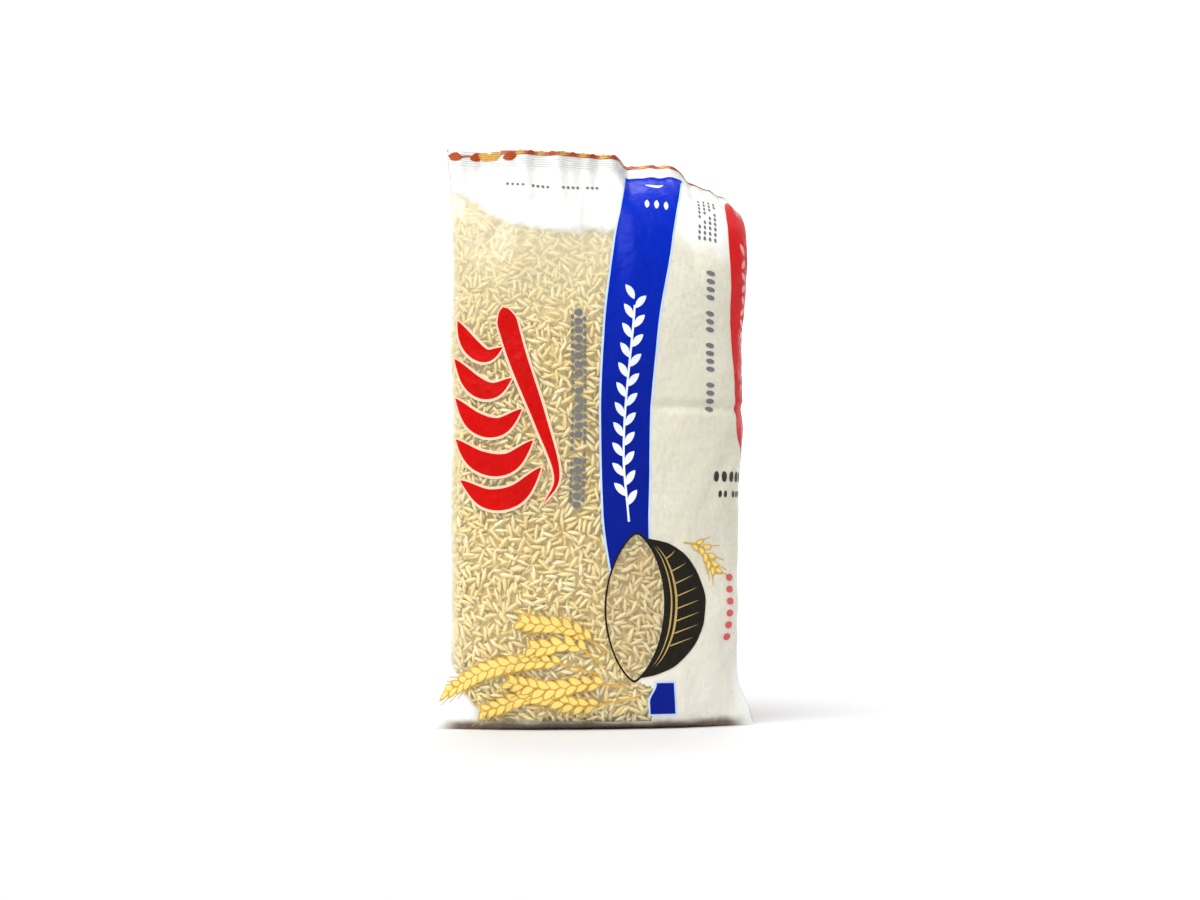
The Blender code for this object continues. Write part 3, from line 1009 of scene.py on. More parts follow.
def add_band(sheet, rim):
    """The band grown by a rim: above the pane, at its foot, on both sides of the pane, and on the back."""

    def left(height):
        return along(BAND_MIDDLE, height) - along(BAND_HALF, height) - rim

    def right(height):
        return along(BAND_MIDDLE, height) + along(BAND_HALF, height) + rim

    def foot_left(height):
        return left(height) + FOOT_CUT * float(smooth(FOOT_CUT_FROM, BAND_BREAK_LOW, height))

    def before_pane(height):
        return max(left(height), min(right(height), PANE_MIDDLE[0] - pane_half(height)))

    def past_pane(height):
        return min(right(height), PANE_MIDDLE[0] + pane_half(height))

    upright(sheet, left, right, PANE_TOP, BAND_HIGH)
    upright(sheet, foot_left, right, BAND_LOW - rim, BAND_BREAK_LOW + rim)
    upright(sheet, left, before_pane, BAND_BREAK_HIGH, PANE_TOP)
    upright(sheet, past_pane, right, BAND_TUCK, PANE_TOP)
    back_left, back_right = BACK_BAND_FROM - rim, BACK_BAND_TO + rim
    upright(sheet, lambda _: back_left, lambda _: back_right, BACK_BAND_LOW - rim, BACK_BAND_HIGH + rim)


def blue_band():
    """The bowed blue band with its pale edges, and one on the back."""
    edge, band = Print(), Print()
    add_band(edge, BAND_EDGE)
    add_band(band, 0.0)
    edge.piece("band_edge", ink_material("pale_blue_ink", srgb(190, 214, 244)))
    band.piece("blue_band", ink_material("blue_ink", srgb(0, 40, 186), srgb(4, 26, 132), 0.36, 0.08))


SPRIG_STEM = ((0.0125, 0.100), (0.0098, 0.130), (0.0112, 0.165), (0.0150, 0.205))
SPRIG_STEM_HALF = 0.0005
SPRIG_KNOTS = 12
# Each leaf's angle off the stem, its length, half width and bow, its stalk, and how far a pair is staggered
SPRIG_SPREAD = 0.62
SPRIG_LEAF_LENGTH, SPRIG_LEAF_HALF, SPRIG_LEAF_BOW = 0.0084, 0.0017, 0.0006
SPRIG_STALK, SPRIG_STAGGER = 0.0008, 0.0022
# Small leaves above the sprig: three upright ones, by where they start across, and a level one over them
TOP_LEAF_STARTS = (0.0235, 0.0285, 0.0335)
TOP_LEAF_LOW, TOP_LEAF_HIGH, TOP_LEAF_LEAN, TOP_LEAF_HALF = 0.2520, 0.2568, 0.0010, 0.0012
LEVEL_LEAF = ((0.0250, 0.2680), (0.0300, 0.2660), (0.0350, 0.2680))
LEVEL_LEAF_HALF = 0.0009


def band_sprig():
    """A white sprig up the band, and small leaves near its top."""
    white = Print()
    ribbon(white, SPRIG_STEM, SPRIG_STEM_HALF, bar)
    line, _ = smooth_line(SPRIG_STEM, SPRIG_KNOTS)
    headings = unit(np.gradient(line, axis=0))
    for knot, heading in list(zip(line, headings))[1:]:
        for way in (-1.0, 1.0):
            aim = turned(heading, way * SPRIG_SPREAD)
            root = knot + heading * way * SPRIG_STAGGER + aim * SPRIG_STALK
            middle = root + aim * SPRIG_LEAF_LENGTH / 2 + heading * SPRIG_LEAF_BOW
            tip = root + aim * SPRIG_LEAF_LENGTH
            ribbon(white, (root, middle, tip), SPRIG_LEAF_HALF, leaf)
    for start in TOP_LEAF_STARTS:
        ends = (start, TOP_LEAF_LOW), (start + TOP_LEAF_LEAN, TOP_LEAF_HIGH)
        ribbon(white, ends, TOP_LEAF_HALF, leaf)
    ribbon(white, LEVEL_LEAF, LEVEL_LEAF_HALF, leaf)
    white.piece("band_sprig", ink_material("white_ink", srgb(226, 234, 250)))


# Stations, half width and profile of each brush stroke
EMBLEM_STROKES = (
    (
        ((-0.0500, 0.2035), (-0.0425, 0.1800), (-0.0305, 0.1480), (-0.0225, 0.1220), (-0.0285, 0.1085)),
        0.0050, swoosh,
    ),
    (((-0.0300, 0.1260), (-0.0420, 0.1130), (-0.0560, 0.1110), (-0.0700, 0.1200)), 0.0052, leaf),
    (((-0.0340, 0.1390), (-0.0460, 0.1280), (-0.0600, 0.1290), (-0.0745, 0.1400)), 0.0054, leaf),
    (((-0.0395, 0.1540), (-0.0505, 0.1455), (-0.0625, 0.1480), (-0.0750, 0.1600)), 0.0050, leaf),
    (((-0.0445, 0.1690), (-0.0540, 0.1630), (-0.0640, 0.1665), (-0.0745, 0.1790)), 0.0046, leaf),
    (((-0.0495, 0.1840), (-0.0575, 0.1800), (-0.0655, 0.1850), (-0.0735, 0.1975)), 0.0040, leaf),
)
EMBLEM_RIM = 0.0013


def red_emblem():
    """A red plume of broad brush strokes with a pale rim."""
    rim, red = Print(), Print()
    for stations, half, profile in EMBLEM_STROKES:
        ribbon(rim, stations, half, profile, grow=EMBLEM_RIM)
        ribbon(red, stations, half, profile)
    rim.piece("emblem_rim", ink_material("salmon_ink", srgb(255, 206, 176)))
    red.piece("emblem", ink_material("red_ink", srgb(196, 8, 5), gloss=0.12))


# Rows of marks: stations, then a mark's length and half width, the pitch and the numbers left out
GREY_ROWS = (
    (((-0.0128, 0.1080), (-0.0122, 0.1550), (-0.0128, 0.2010)), 0.0034, 0.0021, 0.0043, (6, 7, 14)),
    (((-0.0158, 0.1100), (-0.0152, 0.1550), (-0.0158, 0.1990)), 0.0026, 0.0009, 0.0036, (6, 13, 14)),
    (((-0.0098, 0.1105), (-0.0092, 0.1550), (-0.0098, 0.1980)), 0.0026, 0.0009, 0.0036, (7, 14)),
    (((-0.0505, 0.2655), (-0.0250, 0.2640), (-0.0020, 0.2650)), 0.0018, 0.0007, 0.0027, (4, 9, 10, 15)),
    (((0.0537, 0.1560), (0.0540, 0.1900), (0.0548, 0.2270)), 0.0027, 0.0023, 0.0041, (4, 9, 13)),
)
RED_ROW = (((0.0665, 0.0440), (0.0668, 0.0730)), 0.0036, 0.0024, 0.0058)
# Leaning grey rows high on the right: how many, the first one's place, the step to the next, and the lean
LEANING_ROWS, LEANING_FROM, LEANING_STEP, LEANING_LEAN = 4, 0.0500, 0.0028, 0.0030
LEANING_LOW, LEANING_HIGH = 0.2420, 0.2600
LEANING_MARK = (0.0017, 0.0007, 0.0024)
# Level grey rows on the back, where every fourth is a short one
BACK_ROWS, BACK_ROWS_TOP, BACK_ROW_STEP = 12, 0.2300, 0.0085
BACK_ROW_FROM, BACK_ROW_TO, SHORT_ROW_TO = 0.1120, 0.1460, 0.1320
BACK_MARK = (0.0022, 0.0008, 0.0031)
# Black marks: where each starts across, their low and high ends, how far they lean, and their half width
BLACK_ROWS = (
    ((0.0578, 0.0624, 0.0670, 0.0712, 0.0754), 0.1195, 0.1250, 0.0004, 0.0015),
    ((0.0600, 0.0632, 0.0690, 0.0722, 0.0754), 0.1120, 0.1155, 0.0003, 0.0010),
)


def small_print():
    """Rows of small plain marks: grey beside the emblem and on the white, black and red low at the side."""
    grey, black, red = Print(), Print(), Print()
    for row in GREY_ROWS:
        beads(grey, *row)
    for row in range(LEANING_ROWS):
        across = LEANING_FROM + LEANING_STEP * row
        ends = (across, LEANING_LOW), (across + LEANING_LEAN, LEANING_HIGH)
        beads(grey, ends, *LEANING_MARK, (3 + row,))
    for row in range(BACK_ROWS):
        height = BACK_ROWS_TOP - BACK_ROW_STEP * row
        end = SHORT_ROW_TO if row % 4 == 3 else BACK_ROW_TO
        beads(grey, ((BACK_ROW_FROM, height), (end, height)), *BACK_MARK, (3 + row % 3, 7))
    for starts, low, high, lean, half in BLACK_ROWS:
        for across in starts:
            ribbon(black, ((across, low), (across + lean, high)), half, grain)
    beads(red, *RED_ROW)
    grey.piece("grey_marks", ink_material("grey_ink", srgb(112, 114, 116)))
    black.piece("black_marks", ink_material("black_ink", srgb(52, 48, 44)))
    red.piece("red_marks", ink_material("soft_red_ink", srgb(216, 84, 84)))


# The dark leaf's outer edge, against height, and the widths of the rim round the pane at its left and right
LEAF_OUTER = (
    (0.0243, 0.0172), (0.0262, 0.0265), (0.0310, 0.0375), (0.0430, 0.0483), (0.0520, 0.0514),
    (0.0620, 0.0522), (0.0720, 0.0493), (0.0820, 0.0430), (0.0895, 0.0325), (0.0937, 0.0172),
)
RIM_LEFT, RIM_RIGHT = 0.0010, 0.0014
RIM_STEPS = 121
LEAF_ROWS, LEAF_COLUMNS = 117, 24
# Two long veins beside the pane, each at a share of the leaf's width, with its half width
LONG_VEINS = ((0.27, 0.00058), (0.15, 0.00040))
LONG_VEIN_LOW, LONG_VEIN_HIGH, LONG_VEIN_STATIONS = 0.0300, 0.0885, 13
# Side veins, each through three places across the leaf
SIDE_VEINS, SIDE_VEIN_LOW, SIDE_VEIN_HIGH = 8, 0.0380, 0.0800
SIDE_VEIN_SHARES = (0.27, 0.55, 0.86)
SIDE_VEIN_RISE, SIDE_VEIN_HALF = 0.0075, 0.00032


def leaf_place(share, height):
    """A place across the dark leaf, from the pane's rim at 0 to the leaf's outer edge at 1."""
    inner = PANE_MIDDLE[0] + pane_half(height) + RIM_RIGHT / 2
    return inner + share * (max(inner, along(LEAF_OUTER, height)) - inner)


def dark_leaf():
    """A dark leaf folded round the clear pane, with gold veins and a dark rim all round the pane."""
    dark, gold = Print(), Print()
    heights = np.linspace(LEAF_OUTER[0][0], LEAF_OUTER[-1][0], LEAF_ROWS)
    shares = np.linspace(0.0, 1.0, LEAF_COLUMNS)
    dark.add_rows(np.array([[leaf_place(share, height) for share in shares] for height in heights]), heights)
    turn = np.linspace(0.0, 2 * math.pi, RIM_STEPS)[:, None]
    rim = (RIM_RIGHT + RIM_LEFT) / 2 + (RIM_RIGHT - RIM_LEFT) / 2 * np.cos(turn)
    grown = rim * np.linspace(0.0, 1.0, 3)
    round_way = np.sign(np.cos(turn)) * np.abs(np.cos(turn)) ** (2 * PANE_FULLNESS)
    across = PANE_MIDDLE[0] + (PANE_HALF_WIDTH + grown) * round_way
    dark.add_grid(across, PANE_MIDDLE[1] + (PANE_HALF_HEIGHT + grown) * np.sin(turn))
    up_vein = np.linspace(LONG_VEIN_LOW, LONG_VEIN_HIGH, LONG_VEIN_STATIONS)
    for share, half in LONG_VEINS:
        ribbon(gold, [(leaf_place(share, height), height) for height in up_vein], half, leaf)
    for height in np.linspace(SIDE_VEIN_LOW, SIDE_VEIN_HIGH, SIDE_VEINS):
        vein = [
            (leaf_place(share, height + SIDE_VEIN_RISE * share**0.8), height + SIDE_VEIN_RISE * share)
            for share in SIDE_VEIN_SHARES
        ]
        ribbon(gold, vein, SIDE_VEIN_HALF, swoosh)
    dark.piece("dark_leaf", ink_material("dark_ink", srgb(19, 16, 12), srgb(31, 28, 22), 0.30, 0.10))
    gold.piece("leaf_veins", ink_material("vein_gold_ink", srgb(186, 160, 92)))


# Ears at the foot of the front: stations, and how far each lies over the ones beneath it
EARS = (
    (((-0.0010, 0.0270), (-0.0260, 0.0330), (-0.0520, 0.0300), (-0.0745, 0.0200)), 0.0),
    (((0.0030, 0.0370), (-0.0140, 0.0480), (-0.0340, 0.0515)), 0.0),
    (((0.0190, 0.0160), (-0.0080, 0.0120), (-0.0310, 0.0165), (-0.0530, 0.0105)), 0.0),
    (((0.0120, 0.0215), (-0.0060, 0.0225), (-0.0240, 0.0200), (-0.0400, 0.0225)), 0.00024),
    (((0.0010, 0.0310), (-0.0120, 0.0400), (-0.0290, 0.0400)), 0.00024),
)
SIDE_EARS = (
    ((0.0400, 0.0900), (0.0490, 0.0880), (0.0560, 0.0790)),
    ((0.1500, 0.0300), (0.1350, 0.0420), (0.1170, 0.0450)),
)
# Of the ears on the front and the other ones: a kernel's length and half width, the pitch, how far the
# kernels spread, and the share of the stem that is bare
FRONT_EAR = (0.0080, 0.0019, 0.0046, 0.50, 0.22)
SIDE_EAR = (0.0060, 0.0014, 0.0036, 0.52, 0.12)
KERNEL_RIM = 0.00042
# Kernels overlap like scales, so each lies over the one before it by this much, in a round of four
KERNEL_STEP = 0.00006
STEM_HALF, AWN_HALF, AWN_LENGTH = 0.00045, 0.00020, 0.0045


def kernel(sheets, root, heading, length, half_width, bow, over):
    """One kernel of an ear: a deep leaf with a lighter one inside it."""
    deep, light = sheets
    side = turned(heading, math.pi / 2)
    middle = root + heading * length * 0.45 + side * bow * length
    tip = root + heading * length
    ribbon(deep, (root, middle, tip), half_width, leaf, over=over)
    inner = (root + heading * KERNEL_RIM * 2, middle, tip - heading * KERNEL_RIM * 3)
    ribbon(light, inner, half_width - KERNEL_RIM, leaf, over=over)


def ear(sheets, stations, kernel_length, kernel_half, pitch, spread, stem_share, over=0.0):
    """An ear of grain along a curve: a bare stem, then kernels with fine awns to both sides up to its tip."""
    deep, _ = sheets
    ribbon(deep, stations, STEM_HALF, bar, over=over)
    _, run = smooth_line(stations, 3)
    count = max(4, round(run / pitch))
    line, _ = smooth_line(stations, count)
    heading = unit(np.gradient(line, axis=0))
    first = round(count * stem_share)
    for number in range(first, count):
        size = 0.78 + 0.30 * math.sin(math.pi * (number - first + 1) / (count - first + 1))
        side = turned(heading[number], math.pi / 2)
        for way in (-1.0, 1.0):
            aim = turned(heading[number], way * spread)
            root = line[number] + side * way * 0.0005 + (0.5 * way + 0.5) * heading[number] * pitch / 2
            step = KERNEL_STEP * ((2 * number + (way > 0)) % 4)
            kernel(sheets, root, aim, kernel_length * size, kernel_half * size, -0.08 * way, over + step)
            awn = root + aim * kernel_length * size
            ribbon(deep, (awn, awn + aim * AWN_LENGTH * size), AWN_HALF, bar, over=over)
    kernel(sheets, line[-1], heading[-1], kernel_length * 0.9, kernel_half * 0.85, 0.0, over)


def gold_ears():
    """Ears of grain laid across the foot of the bag, one beside the leaf and one on the back."""
    deep, light = Print(), Print()
    for stations, over in EARS:
        ear((deep, light), stations, *FRONT_EAR, over)
    for stations in SIDE_EARS:
        ear((deep, light), stations, *SIDE_EAR)
    deep.piece("ears_deep", ink_material("deep_gold_ink", srgb(208, 162, 64)))
    light.piece("ears_light", ink_material("gold_ink", srgb(240, 214, 122)))


SEAL_LINE_FROM, SEAL_LINE_TO = -0.0530, 0.0780
SEAL_LINE_HEIGHTS = (0.2804, 0.2814, 0.2824)
SEAL_LINK = ((-0.0790, 0.2785), (-0.0700, 0.2797), (-0.0600, 0.2792), (-0.0520, 0.2808))
SEAL_LINK_HALF = 0.0005
LOZENGES, LOZENGES_FROM, LOZENGE_PITCH = 22, -0.0450, 0.0056
LOZENGE = ((0.0, 0.2806), (0.0022, 0.2818), (0.0044, 0.2812))
LOZENGE_HALF = 0.0011
# Bigger leaves at the seal's left end: where each starts, its ink and its tilt
SEAL_LEAVES = (
    (-0.0800, "red", -0.0006), (-0.0688, "red", 0.0012), (-0.0645, "gold", -0.0014),
    (-0.0600, "gold", 0.0016), (-0.0520, "red", 0.0008),
)
SEAL_LEAF_HEIGHT, SEAL_LEAF_LENGTH, SEAL_LEAF_HALF = 0.2795, 0.0074, 0.0021


def seal_border():
    """The border on the top seal: a thin brown line with lozenges, and bigger leaves at its left end."""
    line = Print()
    leaves = {"red": Print(), "gold": Print()}
    columns = round((SEAL_LINE_TO - SEAL_LINE_FROM) / PRINT_CELL) + 1
    line.add_rows(np.tile(np.linspace(SEAL_LINE_FROM, SEAL_LINE_TO, columns), (3, 1)), SEAL_LINE_HEIGHTS)
    ribbon(line, SEAL_LINK, SEAL_LINK_HALF, bar)
    for number in range(LOZENGES):
        start = LOZENGES_FROM + number * LOZENGE_PITCH
        sheet = leaves["red" if number % 2 else "gold"]
        ribbon(sheet, [(start + past, height) for past, height in LOZENGE], LOZENGE_HALF, leaf)
    for start, ink, tilt in SEAL_LEAVES:
        foot, tip = SEAL_LEAF_HEIGHT - tilt, SEAL_LEAF_HEIGHT + tilt
        ribbon(leaves[ink], ((start, foot), (start + SEAL_LEAF_LENGTH, tip)), SEAL_LEAF_HALF, leaf)
    line.piece("seal_line", ink_material("brown_ink", srgb(196, 110, 74)))
    leaves["red"].piece("seal_leaves_red", ink_material("rust_ink", srgb(182, 72, 22)))
    leaves["gold"].piece("seal_leaves_gold", ink_material("ochre_ink", srgb(216, 164, 72)))


SIDE_BAND_LEFT = (
    (0.0, 0.0870), (0.060, 0.0840), (0.118, 0.0800), (0.146, 0.0714), (0.162, 0.0694), (0.189, 0.0674),
    (0.216, 0.0664), (0.240, 0.0660), (0.262, 0.0690), (0.283, 0.0740),
)
SIDE_BAND_RIGHT = ((0.0, 0.1010), (0.120, 0.0970), (0.200, 0.0960), (0.283, 0.1000))
SIDE_BAND_LOW, SIDE_BAND_HIGH = 0.0080, 0.2742
# Its pale leaves: how many, how low the first is, the step to the next, and how far in from the band's edge
SIDE_LEAVES, SIDE_LEAVES_LOW, SIDE_LEAF_STEP, SIDE_LEAF_IN = 13, 0.1650, 0.0062, 0.0085
SIDE_LEAF_LENGTH, SIDE_LEAF_HALF, SIDE_LEAF_LEAN = 0.0046, 0.0013, 0.0012


def side_band():
    """The red band down the right side, with a row of pale leaves up it."""
    red, pale = Print(), Print()
    left, right = partial(along, SIDE_BAND_LEFT), partial(along, SIDE_BAND_RIGHT)
    upright(red, left, right, SIDE_BAND_LOW, SIDE_BAND_HIGH)
    for number in range(SIDE_LEAVES):
        height = SIDE_LEAVES_LOW + SIDE_LEAF_STEP * number
        across = along(SIDE_BAND_LEFT, height) + SIDE_LEAF_IN
        lean = SIDE_LEAF_LEAN if number % 2 else -SIDE_LEAF_LEAN
        ends = (across - lean, height), (across + lean, height + SIDE_LEAF_LENGTH)
        ribbon(pale, ends, SIDE_LEAF_HALF, leaf)
    red.piece("side_band", ink_material("side_red_ink", srgb(206, 18, 22)))
    pale.piece("side_leaves", ink_material("pale_red_ink", srgb(240, 160, 158)))


# Rice

# A whole long grain
GRAIN_LENGTH, GRAIN_WIDTH, GRAIN_THICKNESS = 0.0069, 0.0021, 0.0017
GRAIN_SIDES, GRAIN_RINGS = 7, 6
# Three loose layers lie against the film: how deep each lies, and the room that the bag must have there
GRAIN_LAYERS = ((0.00120, 0.0034), (0.00235, 0.0048), (0.00350, 0.0062))
# Grains keep apart at their middles and at a spot to either side, this share of their length away
GRAIN_SPOTS = 0.31
GRAIN_APART = 0.00178
GRAIN_TRIES = 15000
GRAIN_SEED = 1307
# Where along a grain its place is tested against the film, and how thick it is to either side there
GRAIN_TESTS = ((-0.42, 0.0006), (0.0, 0.0010), (0.42, 0.0006))
# How far grains vary in depth, in tilt, and further in tilt past the first layer, and how far in size
DEPTH_SPREAD, TILT_SPREAD, DEEP_TILT_SPREAD, DEEP_FROM = 0.0004, 0.10, 0.16, 0.002
SIZE_SPREAD, SIZE_LIMITS = 0.05, (0.86, 1.14)
GRAIN_CHALK = srgb(252, 240, 200)
# Each kind's share of the grains, its length beside a whole one's, its dull and bright tones, its roughness
GRAIN_KINDS = {
    "pearly": (0.45, 1.0, srgb(237, 214, 149), srgb(246, 230, 180), 0.52),
    "creamy": (0.27, 1.0, srgb(231, 204, 131), srgb(241, 220, 159), 0.52),
    "chalky": (0.16, 0.97, srgb(241, 224, 172), srgb(248, 237, 199), 0.58),
    "broken": (0.12, 0.56, srgb(235, 213, 149), srgb(244, 229, 178), 0.54),
}
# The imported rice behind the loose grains: how deep its skin lies, where it has room, and its grid
CORE_DEPTH, CORE_ROOM = 0.0044, (0.0050, 0.0075)
CORE_SIDES, CORE_ROWS = 96, 64
CORE_PULL = 0.90
# How far past the window's edges, and how far under the rice's level, grains can still be seen
VIEW_MARGIN, CROWN_MARGIN = 0.004, 0.016


def rice_material(name, dull, bright, roughness):
    """Polished grains, each of its own tone, glassier in the body and paler at the tips."""
    material, surface = new_material(name)
    place = object_place(material)
    tone = kept_value(material, "tone")
    streak = between(material, noise(material, place, 1500.0, 2.0), 0.3, 0.7, -0.12, 0.12)
    colour = mixed(material, plus(material, tone, streak), dull, bright)
    chalk = between(material, kept_value(material, "length_place"), 0.72, 0.98, 0.0, 0.45)
    dress(
        material, surface, Base_Color=mixed(material, chalk, colour, GRAIN_CHALK),
        Roughness=between(material, tone, 0.0, 1.0, roughness + 0.1, roughness - 0.04),
        Normal=bumped(material, noise(material, place, 900.0, 2.0), 0.35, 0.0002),
        Subsurface_Weight=0.30, Subsurface_Radius=(1.0, 0.8, 0.5), Subsurface_Scale=0.0016,
    )
    return material


def packed_rice_material():
    """The rice deeper in the bag: crowded grain shapes in shade."""
    material, surface = new_material("packed_rice")
    cells = grain_cells(material, object_place(material), 0.4, (0.4, 0.9, 0.3), 480.0)
    body = between(material, cells, 0.15, 0.75)
    dress(
        material, surface, Base_Color=mixed(material, body, srgb(244, 224, 160), srgb(228, 202, 132)),
        Roughness=0.6, Normal=bumped(material, cells, 0.8, 0.0012, invert=True),
    )
    return material


def mid_plane(across, height):
    """The middle of the bag behind a place on its film."""
    opposite = np.where(across >= 0, FLAT_WIDTH, -FLAT_WIDTH) - across
    return (FILM.at(across, height) + FILM.at(opposite, height)) / 2


def rice_surface(across, height, depth):
    """Points a little inside the film that close over into a crown where the rice ends."""
    under_film = FILM.at(across, height, -depth)
    share = np.clip((height - rice_level(across)) / RICE_CROWN + 1.0, 0.0, 1.0)
    middle = mid_plane(across, height)
    return middle + (under_film - middle) * np.sqrt(1.0 - share**2)[..., None]


def packed_rice():
    """The body of rice behind the loose grains, closed over at its crown."""
    across = np.linspace(-FLAT_WIDTH, FLAT_WIDTH, CORE_SIDES, endpoint=False)
    level = rice_level(across)
    points = []
    for share in np.arange(CORE_ROWS) / (CORE_ROWS - 1):
        height = RICE_LOW + (level - 0.0002 - RICE_LOW) * share
        skin = rice_surface(across, height, CORE_DEPTH)
        middle = mid_plane(across, height)
        centre = middle.mean(axis=0)
        pulled = centre + (middle - centre) * CORE_PULL
        inward = smooth(*CORE_ROOM, rice_room(across, height))[:, None]
        points.append(pulled + (skin - pulled) * inward)
    faces = tube_quads(CORE_ROWS, CORE_SIDES).reshape(-1, 4).tolist()
    faces.append(list(range(CORE_SIDES))[::-1])
    faces.append(list(range((CORE_ROWS - 1) * CORE_SIDES, CORE_ROWS * CORE_SIDES)))
    piece_from("packed_rice", np.concatenate(points), faces, packed_rice_material(), "rice")


def in_view(across, height):
    """True where a grain can be seen through the clear film."""
    middle = np.array([along(BAND_MIDDLE, h) for h in height])
    front = (across > WINDOW_FROM - VIEW_MARGIN) & (across < middle + VIEW_MARGIN)
    pane = pane_reach(across, height, VIEW_MARGIN) < 1.0
    crown = height > rice_level(across) - CROWN_MARGIN
    return front | pane | crown


def too_near(taken, cell, spot):
    """True if a spot lies nearer than grains may to one that is taken."""
    i, j = cell
    beside = [other for di in (-1, 0, 1) for dj in (-1, 0, 1) for other in taken.get((i + di, j + dj), ())]
    return any((spot[0] - a) ** 2 + (spot[1] - h) ** 2 < GRAIN_APART**2 for a, h in beside)


def scatter_layer(generator, room):
    """Places and angles of grains that lie beside one another over the part that can be seen."""
    high = max(level for _, level in RICE_LEVEL)
    across = generator.uniform(-FLAT_WIDTH, FLAT_WIDTH, 4 * GRAIN_TRIES)
    height = generator.uniform(RICE_LOW, high, 4 * GRAIN_TRIES)
    angle = generator.uniform(0.0, math.pi, 4 * GRAIN_TRIES)
    fits = (rice_room(across, height) > room) & (height < rice_level(across) - 0.0004)
    fits &= in_view(across, height)
    across, height, angle = across[fits][:GRAIN_TRIES], height[fits][:GRAIN_TRIES], angle[fits][:GRAIN_TRIES]
    steps = (-GRAIN_SPOTS * GRAIN_LENGTH, 0.0, GRAIN_SPOTS * GRAIN_LENGTH)
    spots = [(across + np.cos(angle) * step, height + np.sin(angle) * step) for step in steps]
    taken, kept = {}, []
    for number, three in enumerate(np.array(spots).transpose(2, 0, 1).tolist()):
        cells = [(int(a / GRAIN_APART + 1000), int(h / GRAIN_APART)) for a, h in three]
        if not any(too_near(taken, cell, spot) for cell, spot in zip(cells, three)):
            kept.append(number)
            for cell, spot in zip(cells, three):
                taken.setdefault(cell, []).append(spot)
    return across[kept], height[kept], angle[kept]


def grain_shape():
    """One grain lying along X, tapered, a little bent and flattened, as points and faces."""
    bpy.ops.mesh.primitive_uv_sphere_add(segments=GRAIN_SIDES, ring_count=GRAIN_RINGS, radius=0.5)
    start = bpy.context.object
    mesh = start.data
    points = np.array([v.co for v in mesh.vertices])
    faces = [tuple(face.vertices) for face in mesh.polygons]
    bpy.data.objects.remove(start)
    bpy.data.meshes.remove(mesh)
    x, y, z = points[:, 2] * 2, points[:, 0] * 2, points[:, 1] * 2
    taper = 1.0 - 0.16 * x - 0.10 * x**2
    bend = 0.06 * (1.0 - x**2)
    shaped = np.stack([x, y * taper + bend, z * taper], axis=1)
    return shaped * np.array([GRAIN_LENGTH, GRAIN_WIDTH, GRAIN_THICKNESS]) / 2, faces


def pushed_in(spots, across, height, angle, lengthwise, flip):
    """The grains' middles, moved in off the film where a grain's end or middle would stand through it."""
    for end, half_thick in GRAIN_TESTS:
        reach = end * GRAIN_LENGTH * flip
        beside = (across + np.cos(angle) * reach, height + np.sin(angle) * reach)
        facing = FILM.read(FILM.normals, *beside)
        from_film = spots + lengthwise * (end * GRAIN_LENGTH) - FILM.at(*beside)
        excess = np.clip(np.sum(from_film * facing, axis=1) + half_thick, 0.0, 0.003)
        spots = spots - facing * excess[:, None]
    return spots


def lay_grains(generator):
    """Where the grains lie against the film, three layers deep: their middles and their three directions."""
    layers = []
    for depth, room in GRAIN_LAYERS:
        across, height, angle = scatter_layer(generator, room)
        layers.append(np.stack([across, height, angle, np.full(len(across), depth)], axis=1))
    across, height, angle, depth = np.concatenate(layers).T
    count = len(across)
    depth = depth + generator.uniform(0.0, DEPTH_SPREAD, count)
    step = 0.0005
    spots = rice_surface(across, height, depth)
    over = unit(rice_surface(across + step, height, depth) - spots)
    up = rice_surface(across, height + step, depth) - spots
    up = unit(up - np.sum(up * over, axis=1)[:, None] * over)
    out = np.cross(over, up)
    tilt = generator.normal(0.0, TILT_SPREAD, count)
    tilt += np.where(depth > DEEP_FROM, generator.normal(0.0, DEEP_TILT_SPREAD, count), 0.0)
    level = over * np.cos(angle)[:, None] + up * np.sin(angle)[:, None]
    lengthwise = unit(level + out * np.tan(tilt)[:, None])
    sideways = unit(np.cross(out, lengthwise))
    roll = generator.uniform(0.0, 2 * math.pi, count)[:, None]
    rolled_side = sideways * np.cos(roll) + np.cross(lengthwise, sideways) * np.sin(roll)
    rolled_up = np.cross(lengthwise, rolled_side)
    flip = generator.choice((-1.0, 1.0), count)
    lengthwise, rolled_up = lengthwise * flip[:, None], rolled_up * flip[:, None]
    spots = pushed_in(spots, across, height, angle, lengthwise, flip)
    return spots, np.stack([lengthwise, rolled_side, rolled_up], axis=1)


def inside_film(grains):
    """True for each grain that has no point outside the film."""
    points = FILM.points[:, :CELLS_ACROSS].reshape(-1, 3)
    quads = tube_quads(len(FILM.heights), CELLS_ACROSS).reshape(-1, 4)
    film = BVHTree.FromPolygons(points.tolist(), quads.tolist())
    inside = []
    for grain_points in grains:
        outward = []
        for point in grain_points:
            spot, normal, _, _ = film.find_nearest(point)
            outward.append(normal.dot(Vector(point) - spot))
        inside.append(max(outward) < 0.0)
    return np.array(inside)


